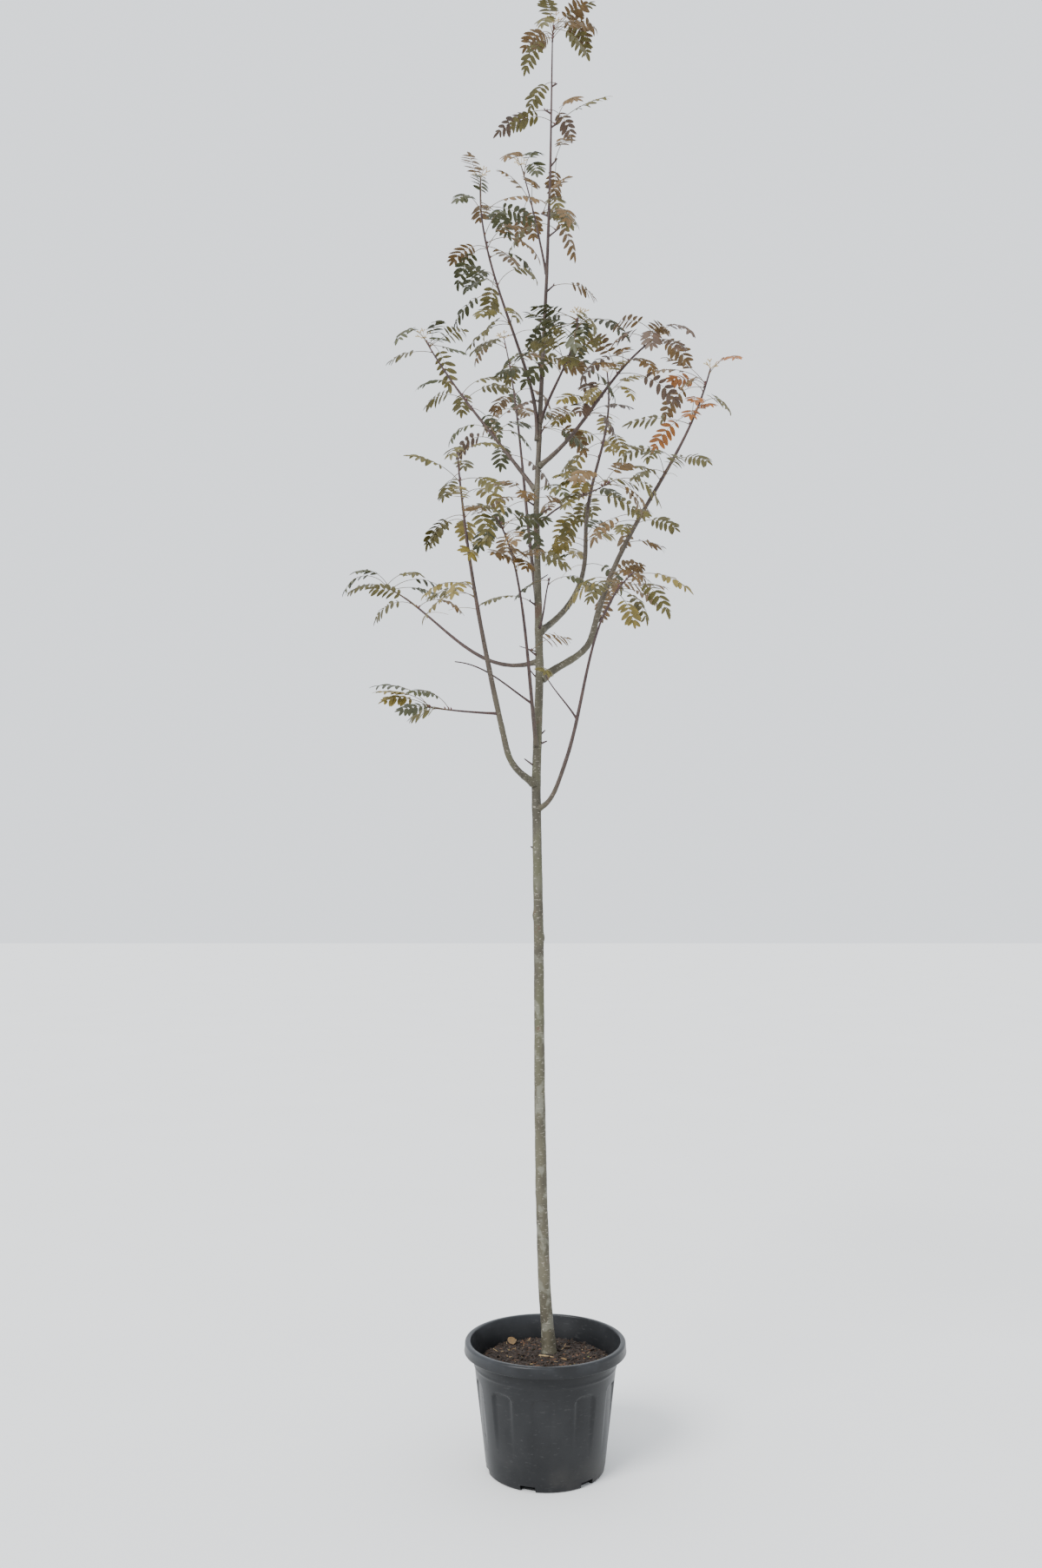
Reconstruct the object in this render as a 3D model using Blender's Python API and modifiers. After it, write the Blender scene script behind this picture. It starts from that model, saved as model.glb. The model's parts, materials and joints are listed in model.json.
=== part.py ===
"""A young rowan in a nursery pot: pot, potting bark, trunk, boughs and masses of pinnate leaves.

Metres, +Z up. The origin is at the centre of the pot's flat underside, +X is to the right of the
front view and +Y points away from it. Every bough is a line in one upright plane that stands at its
heading, and every mass of leaves grows on from a bough's tip, or from a spur on the trunk.
"""

import math
import random
from typing import NamedTuple

import bmesh
import bpy
import numpy as np

# Pot
POT_HEIGHT = 0.326
POT_STEPS = 60
FOOT_RADIUS = 0.150
FOOT_BEND = 0.006
WALL_FOOT_RADIUS = 0.155
WALL_TOP_RADIUS = 0.191
LIP_RADIUS = 0.214
LIP_HEIGHT = 0.028
LIP_ROUND = 0.008
MOUTH_RADIUS = 0.1975
WALL = 0.006
RIM_WALL = 0.003
FLOOR = 0.004
COLLAR_FOOT = 0.250
FLUTES = 10
FLUTE_CENTRE = 267.0
FLUTE_HALF_WIDTH = 4.0
FLUTE_DEPTH = 0.0038
FLUTE_TOP = 0.236
FLUTE_SHOULDER = 0.229
FLUTE_FOOT = 0.070
NOTCHES = 6
FIRST_NOTCH = 252.0
NOTCH_WIDTH = 0.040
NOTCH_HEIGHT = 0.014
NOTCH_REACH = 0.030

# Potting bark
GAP = 0.0003
BARK_STEPS = 30
BARK_EDGE = 0.264
BARK_SHOULDER = 0.277
BARK_SEAT = 0.2827
SEAT_RADIUS = 0.048

# Trunk: its axis as (height, to the right, away), and its radius at named heights
TRUNK_FOOT = BARK_SEAT + GAP
TRUNK_TIP = 3.912
TRUNK_AXIS = (
    (TRUNK_FOOT, 0.010, 0.020),
    (0.300, 0.010, 0.020),
    (0.46, -0.002, 0.018),
    (0.71, -0.010, 0.015),
    (0.96, -0.014, 0.012),
    (1.37, -0.016, 0.010),
    (1.80, -0.023, 0.004),
    (2.10, -0.013, 0.0),
    (2.56, -0.022, 0.0),
    (2.94, -0.006, 0.0),
    (3.22, 0.008, 0.0),
    (3.55, 0.019, 0.0),
    (TRUNK_TIP, 0.025, 0.0),
)
TRUNK_GIRTH = (
    (TRUNK_FOOT, 0.0225),
    (0.300, 0.0195),
    (0.36, 0.0170),
    (1.0, 0.0145),
    (2.1, 0.0115),
    (2.55, 0.0082),
    (3.2, 0.0048),
    (TRUNK_TIP, 0.0020),
)
TRUNK_RINGS = 24

# Growth of the shoots
HANDLE = 0.36
KNOT_STEPS = 16
LINE_POINTS = 49
BOUGH_RINGS = 9
STEM_RINGS = 7
INSIDE_SHARE = 0.35
INSIDE_GIRTH = 0.6
SQUARE_END = 0.002
SEATED = 0.0003
SPUR_SLOPE = 30
SPUR_GIRTH = (0.0022, 0.0018)
TIP_LENGTH = 0.055
FIRST_SPUR_SEED = 200

# Growth of the leaves, angles in degrees
GOLDEN_TURN = 137.5
LEAF_LENGTH = 0.165
LENGTH_SPREAD = (0.78, 1.22)
TURN_SPREAD = 35
RISE = (5, 65)
FALL = (5, 85)
ROLL = 35
LEAF_STATIONS = 13
FALL_POWER = 0.9
STALK_SHARE = 0.38
BLADE_END = 0.88
LEAFLET_PAIRS = 4
LEAFLET_LENGTH = 0.031
LEAFLET_LEAN = 0.006
LEAFLET_DROOP = 0.003
STALK_RADIUS = 0.0012
RIB_HALF_WIDTH = 0.0022
LEAF_THICKNESS = 0.0018
LEAF_CLEAR = 0.006
LIMB_CLEAR = 0.005
STALK_FREE_FROM = 3

# Sides of a round bar, as the curve bevel's resolution counts them
TWELVE_SIDES = 4
EIGHT_SIDES = 2
SIX_SIDES = 1
THICK_BOUGH = 0.005


class Flush(NamedTuple):
    """A run of leaves on a shoot, from one share of its length to another."""

    start: float
    end: float
    leaves: int
    seed: int


class Shoot(NamedTuple):
    """A line in an upright plane at a heading: it passes knots of (reach, rise, slope) from its foot's
    height on the parent, and is bare wood up to the share of its length where its leaves begin."""

    name: str
    parent: str
    foot: float
    heading: float
    knots: tuple
    girth: tuple
    enters: float
    flushes: tuple


SHOOTS = (
    Shoot("left_low", "trunk", 1.800, -135, ((0, 0, 22), (0.100, 0.082, 72), (0.283, 0.857, 83)),
          (0.0095, 0.0022), 0.46,
          (Flush(0.50, 0.74, 2, 1), Flush(0.76, 0.88, 3, 2), Flush(0.88, 0.99, 2, 3))),
    Shoot("left_low_side", "left_low", 1.971, -162, ((0, 0, 0), (0.195, 0.009, 5)),
          (0.0036, 0.0018), 0.50,
          (Flush(0.60, 0.80, 1, 4), Flush(0.92, 1.0, 2, 5))),
    Shoot("right_low", "trunk", 1.730, -48, ((0, 0, 12), (0.097, 0.110, 62), (0.354, 0.588, 25)),
          (0.0066, 0.0020), 0.80,
          (Flush(0.86, 1.0, 3, 6),)),
    Shoot("right_low_side", "right_low", 1.962, -150, ((0, 0, 53), (0.097, 0.109, 55)),
          (0.0026, 0.0015), 0.80,
          (Flush(0.85, 1.0, 1, 7),)),
    Shoot("front", "trunk", 1.906, -109, ((0, 0, 70), (0.320, 0.543, 14)),
          (0.0058, 0.0020), 0.58,
          (Flush(0.62, 0.84, 2, 8), Flush(0.86, 1.0, 3, 9))),
    Shoot("front_side", "front", 2.006, -153, ((0, 0, 28), (0.228, 0.097, 0)),
          (0.0030, 0.0016), 0.84,
          (Flush(0.90, 1.0, 1, 10),)),
    Shoot("right_mid", "trunk", 2.090, 13, ((0, 0, 40), (0.141, 0.127, 78), (0.496, 0.912, 75)),
          (0.0105, 0.0024), 0.24,
          (Flush(0.27, 0.38, 2, 11), Flush(0.42, 0.56, 3, 12), Flush(0.60, 0.76, 2, 13),
           Flush(0.80, 0.90, 2, 14), Flush(0.92, 1.0, 2, 15))),
    Shoot("right_mid_side", "right_mid", 2.239, 43, ((0, 0, 35), (0.099, 0.121, 53)),
          (0.0026, 0.0016), 0.60,
          (Flush(0.80, 1.0, 2, 16),)),
    Shoot("left_mid", "trunk", 2.131, 162, ((0, 0, -14), (0.461, 0.247, 25)),
          (0.0064, 0.0018), 0.62,
          (Flush(0.66, 0.80, 1, 17), Flush(0.90, 1.0, 2, 18))),
    Shoot("right_high", "trunk", 2.219, 59, ((0, 0, 27), (0.264, 0.305, 92), (0.408, 0.868, 106)),
          (0.0095, 0.0024), 0.30,
          (Flush(0.32, 0.46, 3, 19), Flush(0.48, 0.62, 2, 20), Flush(0.68, 0.84, 3, 21),
           Flush(0.86, 1.0, 2, 22))),
    Shoot("right_top", "trunk", 2.681, -30, ((0, 0, 26), (0.360, 0.293, 22)),
          (0.0066, 0.0022), 0.28,
          (Flush(0.32, 0.56, 2, 23), Flush(0.62, 0.82, 2, 24), Flush(0.86, 1.0, 3, 25))),
    Shoot("left_high", "trunk", 2.616, 156, ((0, 0, 54), (0.348, 0.488, 60)),
          (0.0062, 0.0020), 0.16,
          (Flush(0.20, 0.42, 3, 26), Flush(0.46, 0.74, 2, 27), Flush(0.90, 1.0, 3, 28))),
    Shoot("rear", "trunk", 2.295, 106, ((0, 0, 67), (0.350, 0.894, 57)),
          (0.0058, 0.0018), 0.56,
          (Flush(0.60, 0.80, 2, 29), Flush(0.82, 1.0, 2, 30))),
    Shoot("second_leader", "trunk", 2.755, -147, ((0, 0, 91), (0.030, 0.171, 69), (0.185, 0.697, 94)),
          (0.0056, 0.0020), 0.33,
          (Flush(0.36, 0.50, 1, 31), Flush(0.52, 0.66, 3, 32), Flush(0.67, 0.80, 3, 33),
           Flush(0.82, 0.98, 3, 34))),
    Shoot("front_top", "trunk", 2.804, -68, ((0, 0, 45), (0.252, 0.197, 74)),
          (0.0046, 0.0018), 0.40,
          (Flush(0.45, 0.72, 2, 35), Flush(0.76, 0.90, 2, 36), Flush(0.90, 1.0, 2, 37))),
    Shoot("front_twig", "trunk", 2.512, -58, ((0, 0, 20), (0.344, 0.032, 6)),
          (0.0032, 0.0016), 0.45,
          (Flush(0.50, 0.75, 1, 38), Flush(0.86, 1.0, 2, 39))),
    Shoot("leader_side", "trunk", 3.235, 115, ((0, 0, 70), (0.168, 0.400, 63)),
          (0.0036, 0.0016), 0.45,
          (Flush(0.50, 0.76, 2, 40), Flush(0.80, 1.0, 1, 41))),
)

# Spurs on the trunk, from the top down: height, heading, length, leaves
SPURS = (
    (3.780, 0, 0.012, 1),
    (3.700, 180, 0.015, 2),
    (3.660, 0, 0.012, 2),
    (3.545, -40, 0.020, 2),
    (3.400, 150, 0.020, 2),
    (3.340, -20, 0.030, 4),
    (3.180, -30, 0.020, 1),
    (3.090, 170, 0.020, 1),
    (2.930, -100, 0.040, 4),
    (2.770, -60, 0.020, 2),
    (2.570, 190, 0.020, 2),
    (2.540, -20, 0.030, 2),
    (2.290, 200, 0.015, 1),
    (2.150, 210, 0.020, 1),
)
INNER_TWIG = Shoot("inner_twig", "trunk", 2.225, -75, ((0, 0, 30), (0.100, 0.116, 30)),
                   (0.0030, 0.0018), 0.0, (Flush(0.80, 1.0, 2, 42),))
TIP_FLUSHES = (Flush(0.0, 0.5, 2, 43), Flush(0.4, 1.0, 2, 44))

COLOURS = {
    "pot": ((0.038, 0.040, 0.043), 0.38),
    "bark": ((0.045, 0.028, 0.018), 0.95),
    "wood": ((0.21, 0.19, 0.13), 0.8),
    "leaf": ((0.17, 0.17, 0.06), 0.6),
}


# Scene and mesh helpers


def clear_scene():
    for obj in list(bpy.data.objects):
        bpy.data.objects.remove(obj, do_unlink=True)


def collection(name):
    made = bpy.data.collections.new(name)
    bpy.context.scene.collection.children.link(made)
    return made


def material(name):
    colour, roughness = COLOURS[name]
    made = bpy.data.materials.new(name)
    made.use_nodes = True
    shader = made.node_tree.nodes["Principled BSDF"]
    shader.inputs["Base Color"].default_value = (*colour, 1.0)
    shader.inputs["Roughness"].default_value = roughness
    return made


def evaluated_mesh(obj):
    bpy.context.view_layer.update()
    graph = bpy.context.evaluated_depsgraph_get()
    return bpy.data.meshes.new_from_object(obj.evaluated_get(graph))


def settle(obj):
    """Applies the object's modifiers."""
    mesh = evaluated_mesh(obj)
    obj.modifiers.clear()
    obj.data = mesh


def tidy_mesh(mesh, weld=1e-6):
    edit = bmesh.new()
    edit.from_mesh(mesh)
    bmesh.ops.remove_doubles(edit, verts=edit.verts, dist=weld)
    bmesh.ops.recalc_face_normals(edit, faces=edit.faces)
    edit.to_mesh(mesh)
    edit.free()


def mesh_object(name, mesh, home):
    obj = bpy.data.objects.new(name, mesh)
    home.objects.link(obj)
    return obj


def round_bar(name, line, radii, sides, home):
    """A bar of changing thickness along a line, made as a curve with filled caps and then a mesh."""
    curve = bpy.data.curves.new(name, "CURVE")
    curve.dimensions = "3D"
    curve.bevel_depth = 1.0
    curve.bevel_resolution = sides
    curve.use_fill_caps = True
    spline = curve.splines.new("POLY")
    spline.points.add(len(line) - 1)
    for point, place, radius in zip(spline.points, line, radii):
        point.co = (*place, 1.0)
        point.radius = radius
    guide = bpy.data.objects.new(name + "_guide", curve)
    home.objects.link(guide)
    mesh = evaluated_mesh(guide)
    bpy.data.objects.remove(guide, do_unlink=True)
    tidy_mesh(mesh)
    return mesh_object(name, mesh, home)


def boolean(obj, others, operation):
    """Joins or cuts the object with all the others, which are then removed."""
    tools = bpy.data.collections.new(obj.name + "_tools")
    for other in others:
        tools.objects.link(other)
        other.hide_render = True
        other.display_type = "WIRE"
    step = obj.modifiers.new(operation.lower(), "BOOLEAN")
    step.operation = operation
    step.operand_type = "COLLECTION"
    step.collection = tools
    step.solver = "EXACT"
    settle(obj)
    for other in others:
        bpy.data.objects.remove(other, do_unlink=True)
    bpy.data.collections.remove(tools)


# Pot and potting bark


def wall_radius(height):
    share = height / (POT_HEIGHT - LIP_HEIGHT)
    return WALL_FOOT_RADIUS + (WALL_TOP_RADIUS - WALL_FOOT_RADIUS) * share


def inner_radius(height):
    """The wall thins from the collar's foot up to the lip."""
    share = (height - COLLAR_FOOT) / (POT_HEIGHT - LIP_HEIGHT - COLLAR_FOOT)
    return wall_radius(height) - WALL + (WALL - RIM_WALL) * max(share, 0.0)


def turned(name, profile, steps, home):
    """A closed solid turned round the upright axis from a profile of (radius, height)."""
    mesh = bpy.data.meshes.new(name)
    edges = [(i, i + 1) for i in range(len(profile) - 1)]
    mesh.from_pydata([(r, 0.0, z) for r, z in profile], edges, [])
    obj = mesh_object(name, mesh, home)
    screw = obj.modifiers.new("turn", "SCREW")
    screw.steps = steps
    screw.render_steps = steps
    screw.use_merge_vertices = True
    screw.merge_threshold = 1e-5
    screw.use_smooth_shade = False
    settle(obj)
    tidy_mesh(obj.data)
    return obj


def pot(home):
    under_lip = POT_HEIGHT - LIP_HEIGHT
    profile = [
        (0.0, FLOOR),
        (inner_radius(FLOOR), FLOOR),
        (inner_radius(COLLAR_FOOT), COLLAR_FOOT),
        (inner_radius(under_lip), under_lip),
        (MOUTH_RADIUS, POT_HEIGHT - LIP_ROUND),
        (MOUTH_RADIUS + LIP_ROUND / 2, POT_HEIGHT),
        (LIP_RADIUS - LIP_ROUND, POT_HEIGHT - LIP_ROUND / 4),
        (LIP_RADIUS - LIP_ROUND / 4, POT_HEIGHT - LIP_ROUND),
        (LIP_RADIUS, under_lip),
        (WALL_TOP_RADIUS, under_lip),
        (wall_radius(FLUTE_TOP), FLUTE_TOP),
        (wall_radius(FLUTE_SHOULDER), FLUTE_SHOULDER),
        (wall_radius(FLUTE_FOOT), FLUTE_FOOT),
        (WALL_FOOT_RADIUS, FOOT_BEND),
        (FOOT_RADIUS, 0.0),
        (0.0, 0.0),
    ]
    body = turned("pot", profile, POT_STEPS, home)
    for vertex in body.data.vertices:
        x, y, z = vertex.co
        radius = math.hypot(x, y)
        turn = (math.degrees(math.atan2(y, x)) - FLUTE_CENTRE) % (360 / FLUTES)
        turn = min(turn, 360 / FLUTES - turn)
        outside = abs(radius - wall_radius(z)) < WALL / 2
        if outside and turn < FLUTE_HALF_WIDTH and FLUTE_FOOT < z < FLUTE_TOP - 1e-4:
            share = (radius - FLUTE_DEPTH) / radius
            vertex.co.x *= share
            vertex.co.y *= share
    cutters = []
    for k in range(NOTCHES):
        turn = math.radians(FIRST_NOTCH + k * 360 / NOTCHES)
        bpy.ops.mesh.primitive_cube_add(
            size=1.0,
            location=(WALL_FOOT_RADIUS * math.cos(turn), WALL_FOOT_RADIUS * math.sin(turn), 0.0),
            rotation=(0.0, 0.0, turn),
            scale=(NOTCH_REACH, NOTCH_WIDTH, 2 * NOTCH_HEIGHT),
        )
        cutters.append(bpy.context.object)
    boolean(body, cutters, "DIFFERENCE")
    return body


def potting_bark(home):
    profile = [
        (0.0, BARK_SEAT),
        (SEAT_RADIUS, BARK_SEAT),
        (wall_radius(BARK_EDGE) * 0.75, BARK_SHOULDER),
        (inner_radius(BARK_EDGE) - GAP, BARK_EDGE),
        (inner_radius(COLLAR_FOOT) - GAP, COLLAR_FOOT),
        (inner_radius(FLOOR) - GAP, FLOOR + GAP),
        (0.0, FLOOR + GAP),
    ]
    return turned("potting_bark", profile, BARK_STEPS, home)


# Lines of wood


def table_at(table, height, column):
    return float(np.interp(height, [row[0] for row in table], [row[column] for row in table]))


def trunk_axis(height):
    return np.array([table_at(TRUNK_AXIS, height, 1), table_at(TRUNK_AXIS, height, 2), height])


def trunk_radius(height):
    return table_at(TRUNK_GIRTH, height, 1)


def direction(slope):
    return np.array([math.cos(math.radians(slope)), math.sin(math.radians(slope))])


def flat_line(knots):
    """The shoot's line in its own plane as (outward, upward): one Bezier arc from knot to knot."""
    line = [np.zeros(2)]
    for (reach, rise, slope), (next_reach, next_rise, next_slope) in zip(knots, knots[1:]):
        start = np.array([reach, rise])
        end = np.array([next_reach, next_rise])
        handle = HANDLE * np.linalg.norm(end - start)
        first = start + handle * direction(slope)
        second = end - handle * direction(next_slope)
        for k in range(1, KNOT_STEPS + 1):
            t = k / KNOT_STEPS
            near = (1 - t) ** 3 * start + 3 * (1 - t) ** 2 * t * first
            line.append(near + 3 * (1 - t) * t * t * second + t ** 3 * end)
    return np.array(line)


def distances(line):
    return np.r_[0, np.cumsum(np.linalg.norm(np.diff(line, axis=0), axis=1))]


def at_distances(line, wanted):
    steps = distances(line)
    return np.stack([np.interp(wanted, steps, line[:, axis]) for axis in range(3)], 1)


def evenly(line, count):
    return at_distances(line, np.linspace(0, distances(line)[-1], count))


def outward(heading):
    return np.array([math.cos(math.radians(heading)), math.sin(math.radians(heading)), 0.0])


def shoot_line(shoot, lines):
    """The shoot's points in space, starting on the surface of the trunk or at its parent's middle."""
    if shoot.parent == "trunk":
        foot = trunk_axis(shoot.foot) + outward(shoot.heading) * trunk_radius(shoot.foot)
    else:
        parent = lines[shoot.parent]
        foot = parent[np.argmin(abs(parent[:, 2] - shoot.foot))]
    flat = flat_line(shoot.knots)
    line = foot + flat[:, :1] * outward(shoot.heading) + flat[:, 1:] * np.array([0, 0, 1.0])
    return evenly(line, LINE_POINTS)


def girth_at(shoot, share):
    return shoot.girth[0] + (shoot.girth[1] - shoot.girth[0]) * share


def stretch(shoot, line, start, end, rings):
    """Points and radii of the shoot between two shares of its length, with square ends."""
    length = distances(line)[-1]
    near, far = start * length, end * length
    middle = np.linspace(near, far, rings)[1:-1]
    wanted = np.r_[near, near + SQUARE_END, middle, far - SQUARE_END, far]
    return at_distances(line, wanted), girth_at(shoot, wanted / length)


# Solids of wood


def trunk_line():
    heights = np.linspace(0.40, TRUNK_TIP, TRUNK_RINGS)
    low = [row[0] for row in TRUNK_GIRTH[:3]]
    return np.array([trunk_axis(h) for h in (*low, *heights)])


def trunk_bar(name, extra, home):
    line = trunk_line()
    return round_bar(name, line, [trunk_radius(p[2]) + extra for p in line], TWELVE_SIDES, home)


def bough_bar(name, shoot, line, extra, home):
    points, radii = stretch(shoot, line, 0.0, shoot.enters, BOUGH_RINGS)
    inside = points[0] - outward(shoot.heading) * girth_at(shoot, 0)
    if shoot.parent == "trunk":
        axis = trunk_axis(shoot.foot)
        inside = axis + INSIDE_SHARE * (points[0] - axis)
    points = np.vstack([inside, points])
    radii = np.r_[INSIDE_GIRTH * radii[0], radii] + extra
    sides = EIGHT_SIDES if shoot.girth[0] > THICK_BOUGH else SIX_SIDES
    return round_bar(name, points, radii, sides, home)


def seat_on(obj, shoot, lines, home):
    """Cuts the foot to its parent's surface, a hair clear of it."""
    if shoot.parent == "trunk":
        cutter = trunk_bar("clearance", SEATED, home)
    else:
        parent = next(s for s in SHOOTS if s.name == shoot.parent)
        cutter = bough_bar("clearance", parent, lines[parent.name], SEATED, home)
    boolean(obj, [cutter], "DIFFERENCE")


# Leaves


class Leaf(NamedTuple):
    """A pinnate leaf whose rib lies in an upright plane: its heading, length, slopes and roll."""

    foot: np.ndarray
    heading: float
    length: float
    rise: float
    fall: float
    roll: float


def flush_leaves(flush, line):
    """The seeded rule: each leaf turns on by the golden angle, and arches up and then down."""
    rng = random.Random(flush.seed)
    turn = rng.uniform(0, 360)
    length = distances(line)[-1]
    leaves = []
    for k in range(flush.leaves):
        step = (k + 0.5 + rng.uniform(-0.25, 0.25)) / flush.leaves
        share = min(flush.start + (flush.end - flush.start) * step, 1.0)
        turn += GOLDEN_TURN
        leaves.append(Leaf(
            foot=at_distances(line, [share * length])[0],
            heading=turn + rng.uniform(-TURN_SPREAD, TURN_SPREAD),
            length=LEAF_LENGTH * rng.uniform(*LENGTH_SPREAD),
            rise=rng.uniform(*RISE),
            fall=-rng.uniform(*FALL),
            roll=rng.uniform(-ROLL, ROLL),
        ))
    return leaves


def leaf_frame(leaf):
    """Points along the rib, with the directions along it, across the blade and out of its face."""
    shares = np.linspace(0, 1, LEAF_STATIONS)
    slope = np.radians(leaf.rise + (leaf.fall - leaf.rise) * shares ** FALL_POWER)
    middle = (slope[1:] + slope[:-1]) / 2
    step = leaf.length / (LEAF_STATIONS - 1)
    out = outward(leaf.heading)
    up = np.array([0, 0, 1.0])
    side = np.cross(up, out)
    reach = np.r_[0, np.cumsum(np.cos(middle)) * step]
    rise = np.r_[0, np.cumsum(np.sin(middle)) * step]
    rib = leaf.foot + reach[:, None] * out + rise[:, None] * up
    along = np.cos(slope)[:, None] * out + np.sin(slope)[:, None] * up
    face = np.cross(along, side)
    roll = math.radians(leaf.roll)
    across = math.cos(roll) * side + math.sin(roll) * face
    return shares, rib, along, across, np.cross(along, across)


def blade_half_width(share):
    """The blade's half width along the rib: narrow where it starts, widest past its middle third."""
    part = np.clip((share - STALK_SHARE) / (1 - STALK_SHARE), 0, 1)
    return LEAFLET_LENGTH * np.sin(part * math.pi * 0.82 + 0.42) ** 0.7


def leaf_samples(leaf):
    """Points over the leaf past its stalk's foot, for telling what it would touch."""
    shares, rib, _, across, _ = leaf_frame(leaf)
    blade = shares >= STALK_SHARE
    half = blade_half_width(shares[blade])[:, None]
    rows = [rib[~blade][STALK_FREE_FROM:]]
    for lateral in (-1, -0.66, -0.33, 0, 0.33, 0.66, 1):
        rows.append(rib[blade] + across[blade] * lateral * half)
    return np.vstack(rows)


def touches(points, wood, leaves):
    gaps = np.linalg.norm(wood[:, None, :3] - points[None], axis=2) - wood[:, 3:]
    if gaps.min() < LIMB_CLEAR:
        return True
    if len(leaves) == 0:
        return False
    return np.linalg.norm(leaves[:, None] - points[None], axis=2).min() < LEAF_CLEAR


def leaf_mesh(leaf):
    """A three-sided stalk that runs on as the rib of a thin blade, toothed to the rib by leaflets."""
    shares, rib, along, across, face = leaf_frame(leaf)
    blade = np.linspace(STALK_SHARE, BLADE_END, LEAFLET_PAIRS + 1)
    stations = [0.0, STALK_SHARE / 2, *blade]
    vertices = []
    faces = []

    def frame_at(share):
        return [
            np.array([np.interp(share, shares, row[:, axis]) for axis in range(3)])
            for row in (rib, along, across, face)
        ]

    def add(point):
        vertices.append(point)
        return len(vertices) - 1

    rings = []
    for share in stations:
        middle, _, aside, out = frame_at(share)
        on_blade = share >= STALK_SHARE
        half = RIB_HALF_WIDTH if on_blade else STALK_RADIUS
        thick = LEAF_THICKNESS if on_blade else 1.7 * STALK_RADIUS
        low = middle - out * thick / 3
        rings.append((add(middle + out * thick * 2 / 3), add(low - aside * half), add(low + aside * half)))
    faces.append(rings[0])
    for ring, after in zip(rings[:2], rings[1:]):
        for k in range(3):
            faces.append((ring[k], ring[(k + 1) % 3], after[(k + 1) % 3], after[k]))
    for k in range(LEAFLET_PAIRS):
        ring, after = rings[k + 2], rings[k + 3]
        share = (blade[k] + blade[k + 1]) / 2
        middle, ahead, aside, out = frame_at(share)
        reach = float(blade_half_width(share))
        faces.append((ring[1], after[1], after[2], ring[2]))
        for side, corner in ((-1, 1), (1, 2)):
            tip = add(middle + aside * side * reach + ahead * LEAFLET_LEAN - out * LEAFLET_DROOP)
            faces.append((ring[corner], tip, after[corner]))
            faces.append((ring[0], ring[corner], tip))
            faces.append((ring[0], tip, after[0]))
            faces.append((after[0], tip, after[corner]))
    last = rings[-1]
    middle, ahead, aside, out = frame_at((BLADE_END + 1) / 2)
    wide = [add(middle + aside * side * LEAFLET_LENGTH / 4 - out * LEAF_THICKNESS / 3) for side in (-1, 1)]
    end = add(frame_at(1.0)[0] + ahead * LEAFLET_LEAN)
    faces += [
        (last[0], last[1], wide[0]),
        (last[0], wide[0], end),
        (last[0], end, wide[1]),
        (last[0], wide[1], last[2]),
        (last[1], last[2], wide[1], wide[0]),
        (wide[0], wide[1], end),
    ]
    mesh = bpy.data.meshes.new("leaf")
    mesh.from_pydata([tuple(v) for v in vertices], [], [tuple(f) for f in faces])
    tidy_mesh(mesh, weld=1e-7)
    return mesh


# Masses of leaves


def wood_samples(shoots, lines):
    """Points down the middle of every limb, with its radius there."""
    rows = []
    heights = np.linspace(TRUNK_FOOT, TRUNK_TIP, 400)
    rows.append(np.array([[*trunk_axis(h), trunk_radius(h)] for h in heights]))
    for shoot in shoots:
        line = evenly(lines[shoot.name], 60)
        rows.append(np.c_[line, np.linspace(*shoot.girth, 60)])
    return np.vstack(rows)


def largest_piece(mesh):
    """Drops the loose scraps that joining leaves, and keeps the one body."""
    edit = bmesh.new()
    edit.from_mesh(mesh)
    left = set(edit.verts)
    pieces = []
    while left:
        piece = {left.pop()}
        edge_front = list(piece)
        while edge_front:
            vertex = edge_front.pop()
            for edge in vertex.link_edges:
                other = edge.other_vert(vertex)
                if other in left:
                    left.remove(other)
                    piece.add(other)
                    edge_front.append(other)
        pieces.append(piece)
    biggest = max(pieces, key=len)
    scraps = [v for piece in pieces if piece is not biggest for v in piece]
    bmesh.ops.delete(edit, geom=scraps, context="VERTS")
    edit.to_mesh(mesh)
    edit.free()


def mass(name, shoot, lines, wood, placed, home):
    """The stem that carries on from the limb, and the leaves that keep clear of everything."""
    line = lines[shoot.name]
    start = shoot.enters
    if start > 0:
        start += SEATED / distances(line)[-1]
    points, radii = stretch(shoot, line, start, 1.0, STEM_RINGS if len(shoot.flushes) > 1 else 3)
    on_trunk = shoot.parent == "trunk" and shoot.enters == 0
    if on_trunk:
        axis = trunk_axis(shoot.foot)
        points = np.vstack([axis + INSIDE_SHARE * (points[0] - axis), points])
        radii = np.r_[INSIDE_GIRTH * radii[0], radii]
    stem = round_bar(name, points, radii, SIX_SIDES, home)
    blades = []
    for flush in shoot.flushes:
        for leaf in flush_leaves(flush, line):
            samples = leaf_samples(leaf)
            if touches(samples, wood, placed):
                print(name, "skips a leaf")
                continue
            placed = np.vstack([placed, samples])
            blades.append(mesh_object(f"{name}_leaf", leaf_mesh(leaf), home))
    boolean(stem, blades, "UNION")
    if on_trunk:
        boolean(stem, [trunk_bar("clearance", SEATED, home)], "DIFFERENCE")
    largest_piece(stem.data)
    tidy_mesh(stem.data, weld=1e-5)
    return stem, placed


def spur(number, height, heading, length, leaves):
    rise = length * math.tan(math.radians(SPUR_SLOPE))
    return Shoot(f"trunk_spur_{number}", "trunk", height, heading,
                 ((0, 0, SPUR_SLOPE), (length, rise, SPUR_SLOPE)), SPUR_GIRTH, 0.0,
                 (Flush(0.6, 1.0, leaves, FIRST_SPUR_SEED + number),))


def tip_shoot():
    return Shoot("trunk_tip", "tip", TRUNK_TIP, 0, (), (0.0020, 0.0012), 0.0, TIP_FLUSHES)


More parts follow.
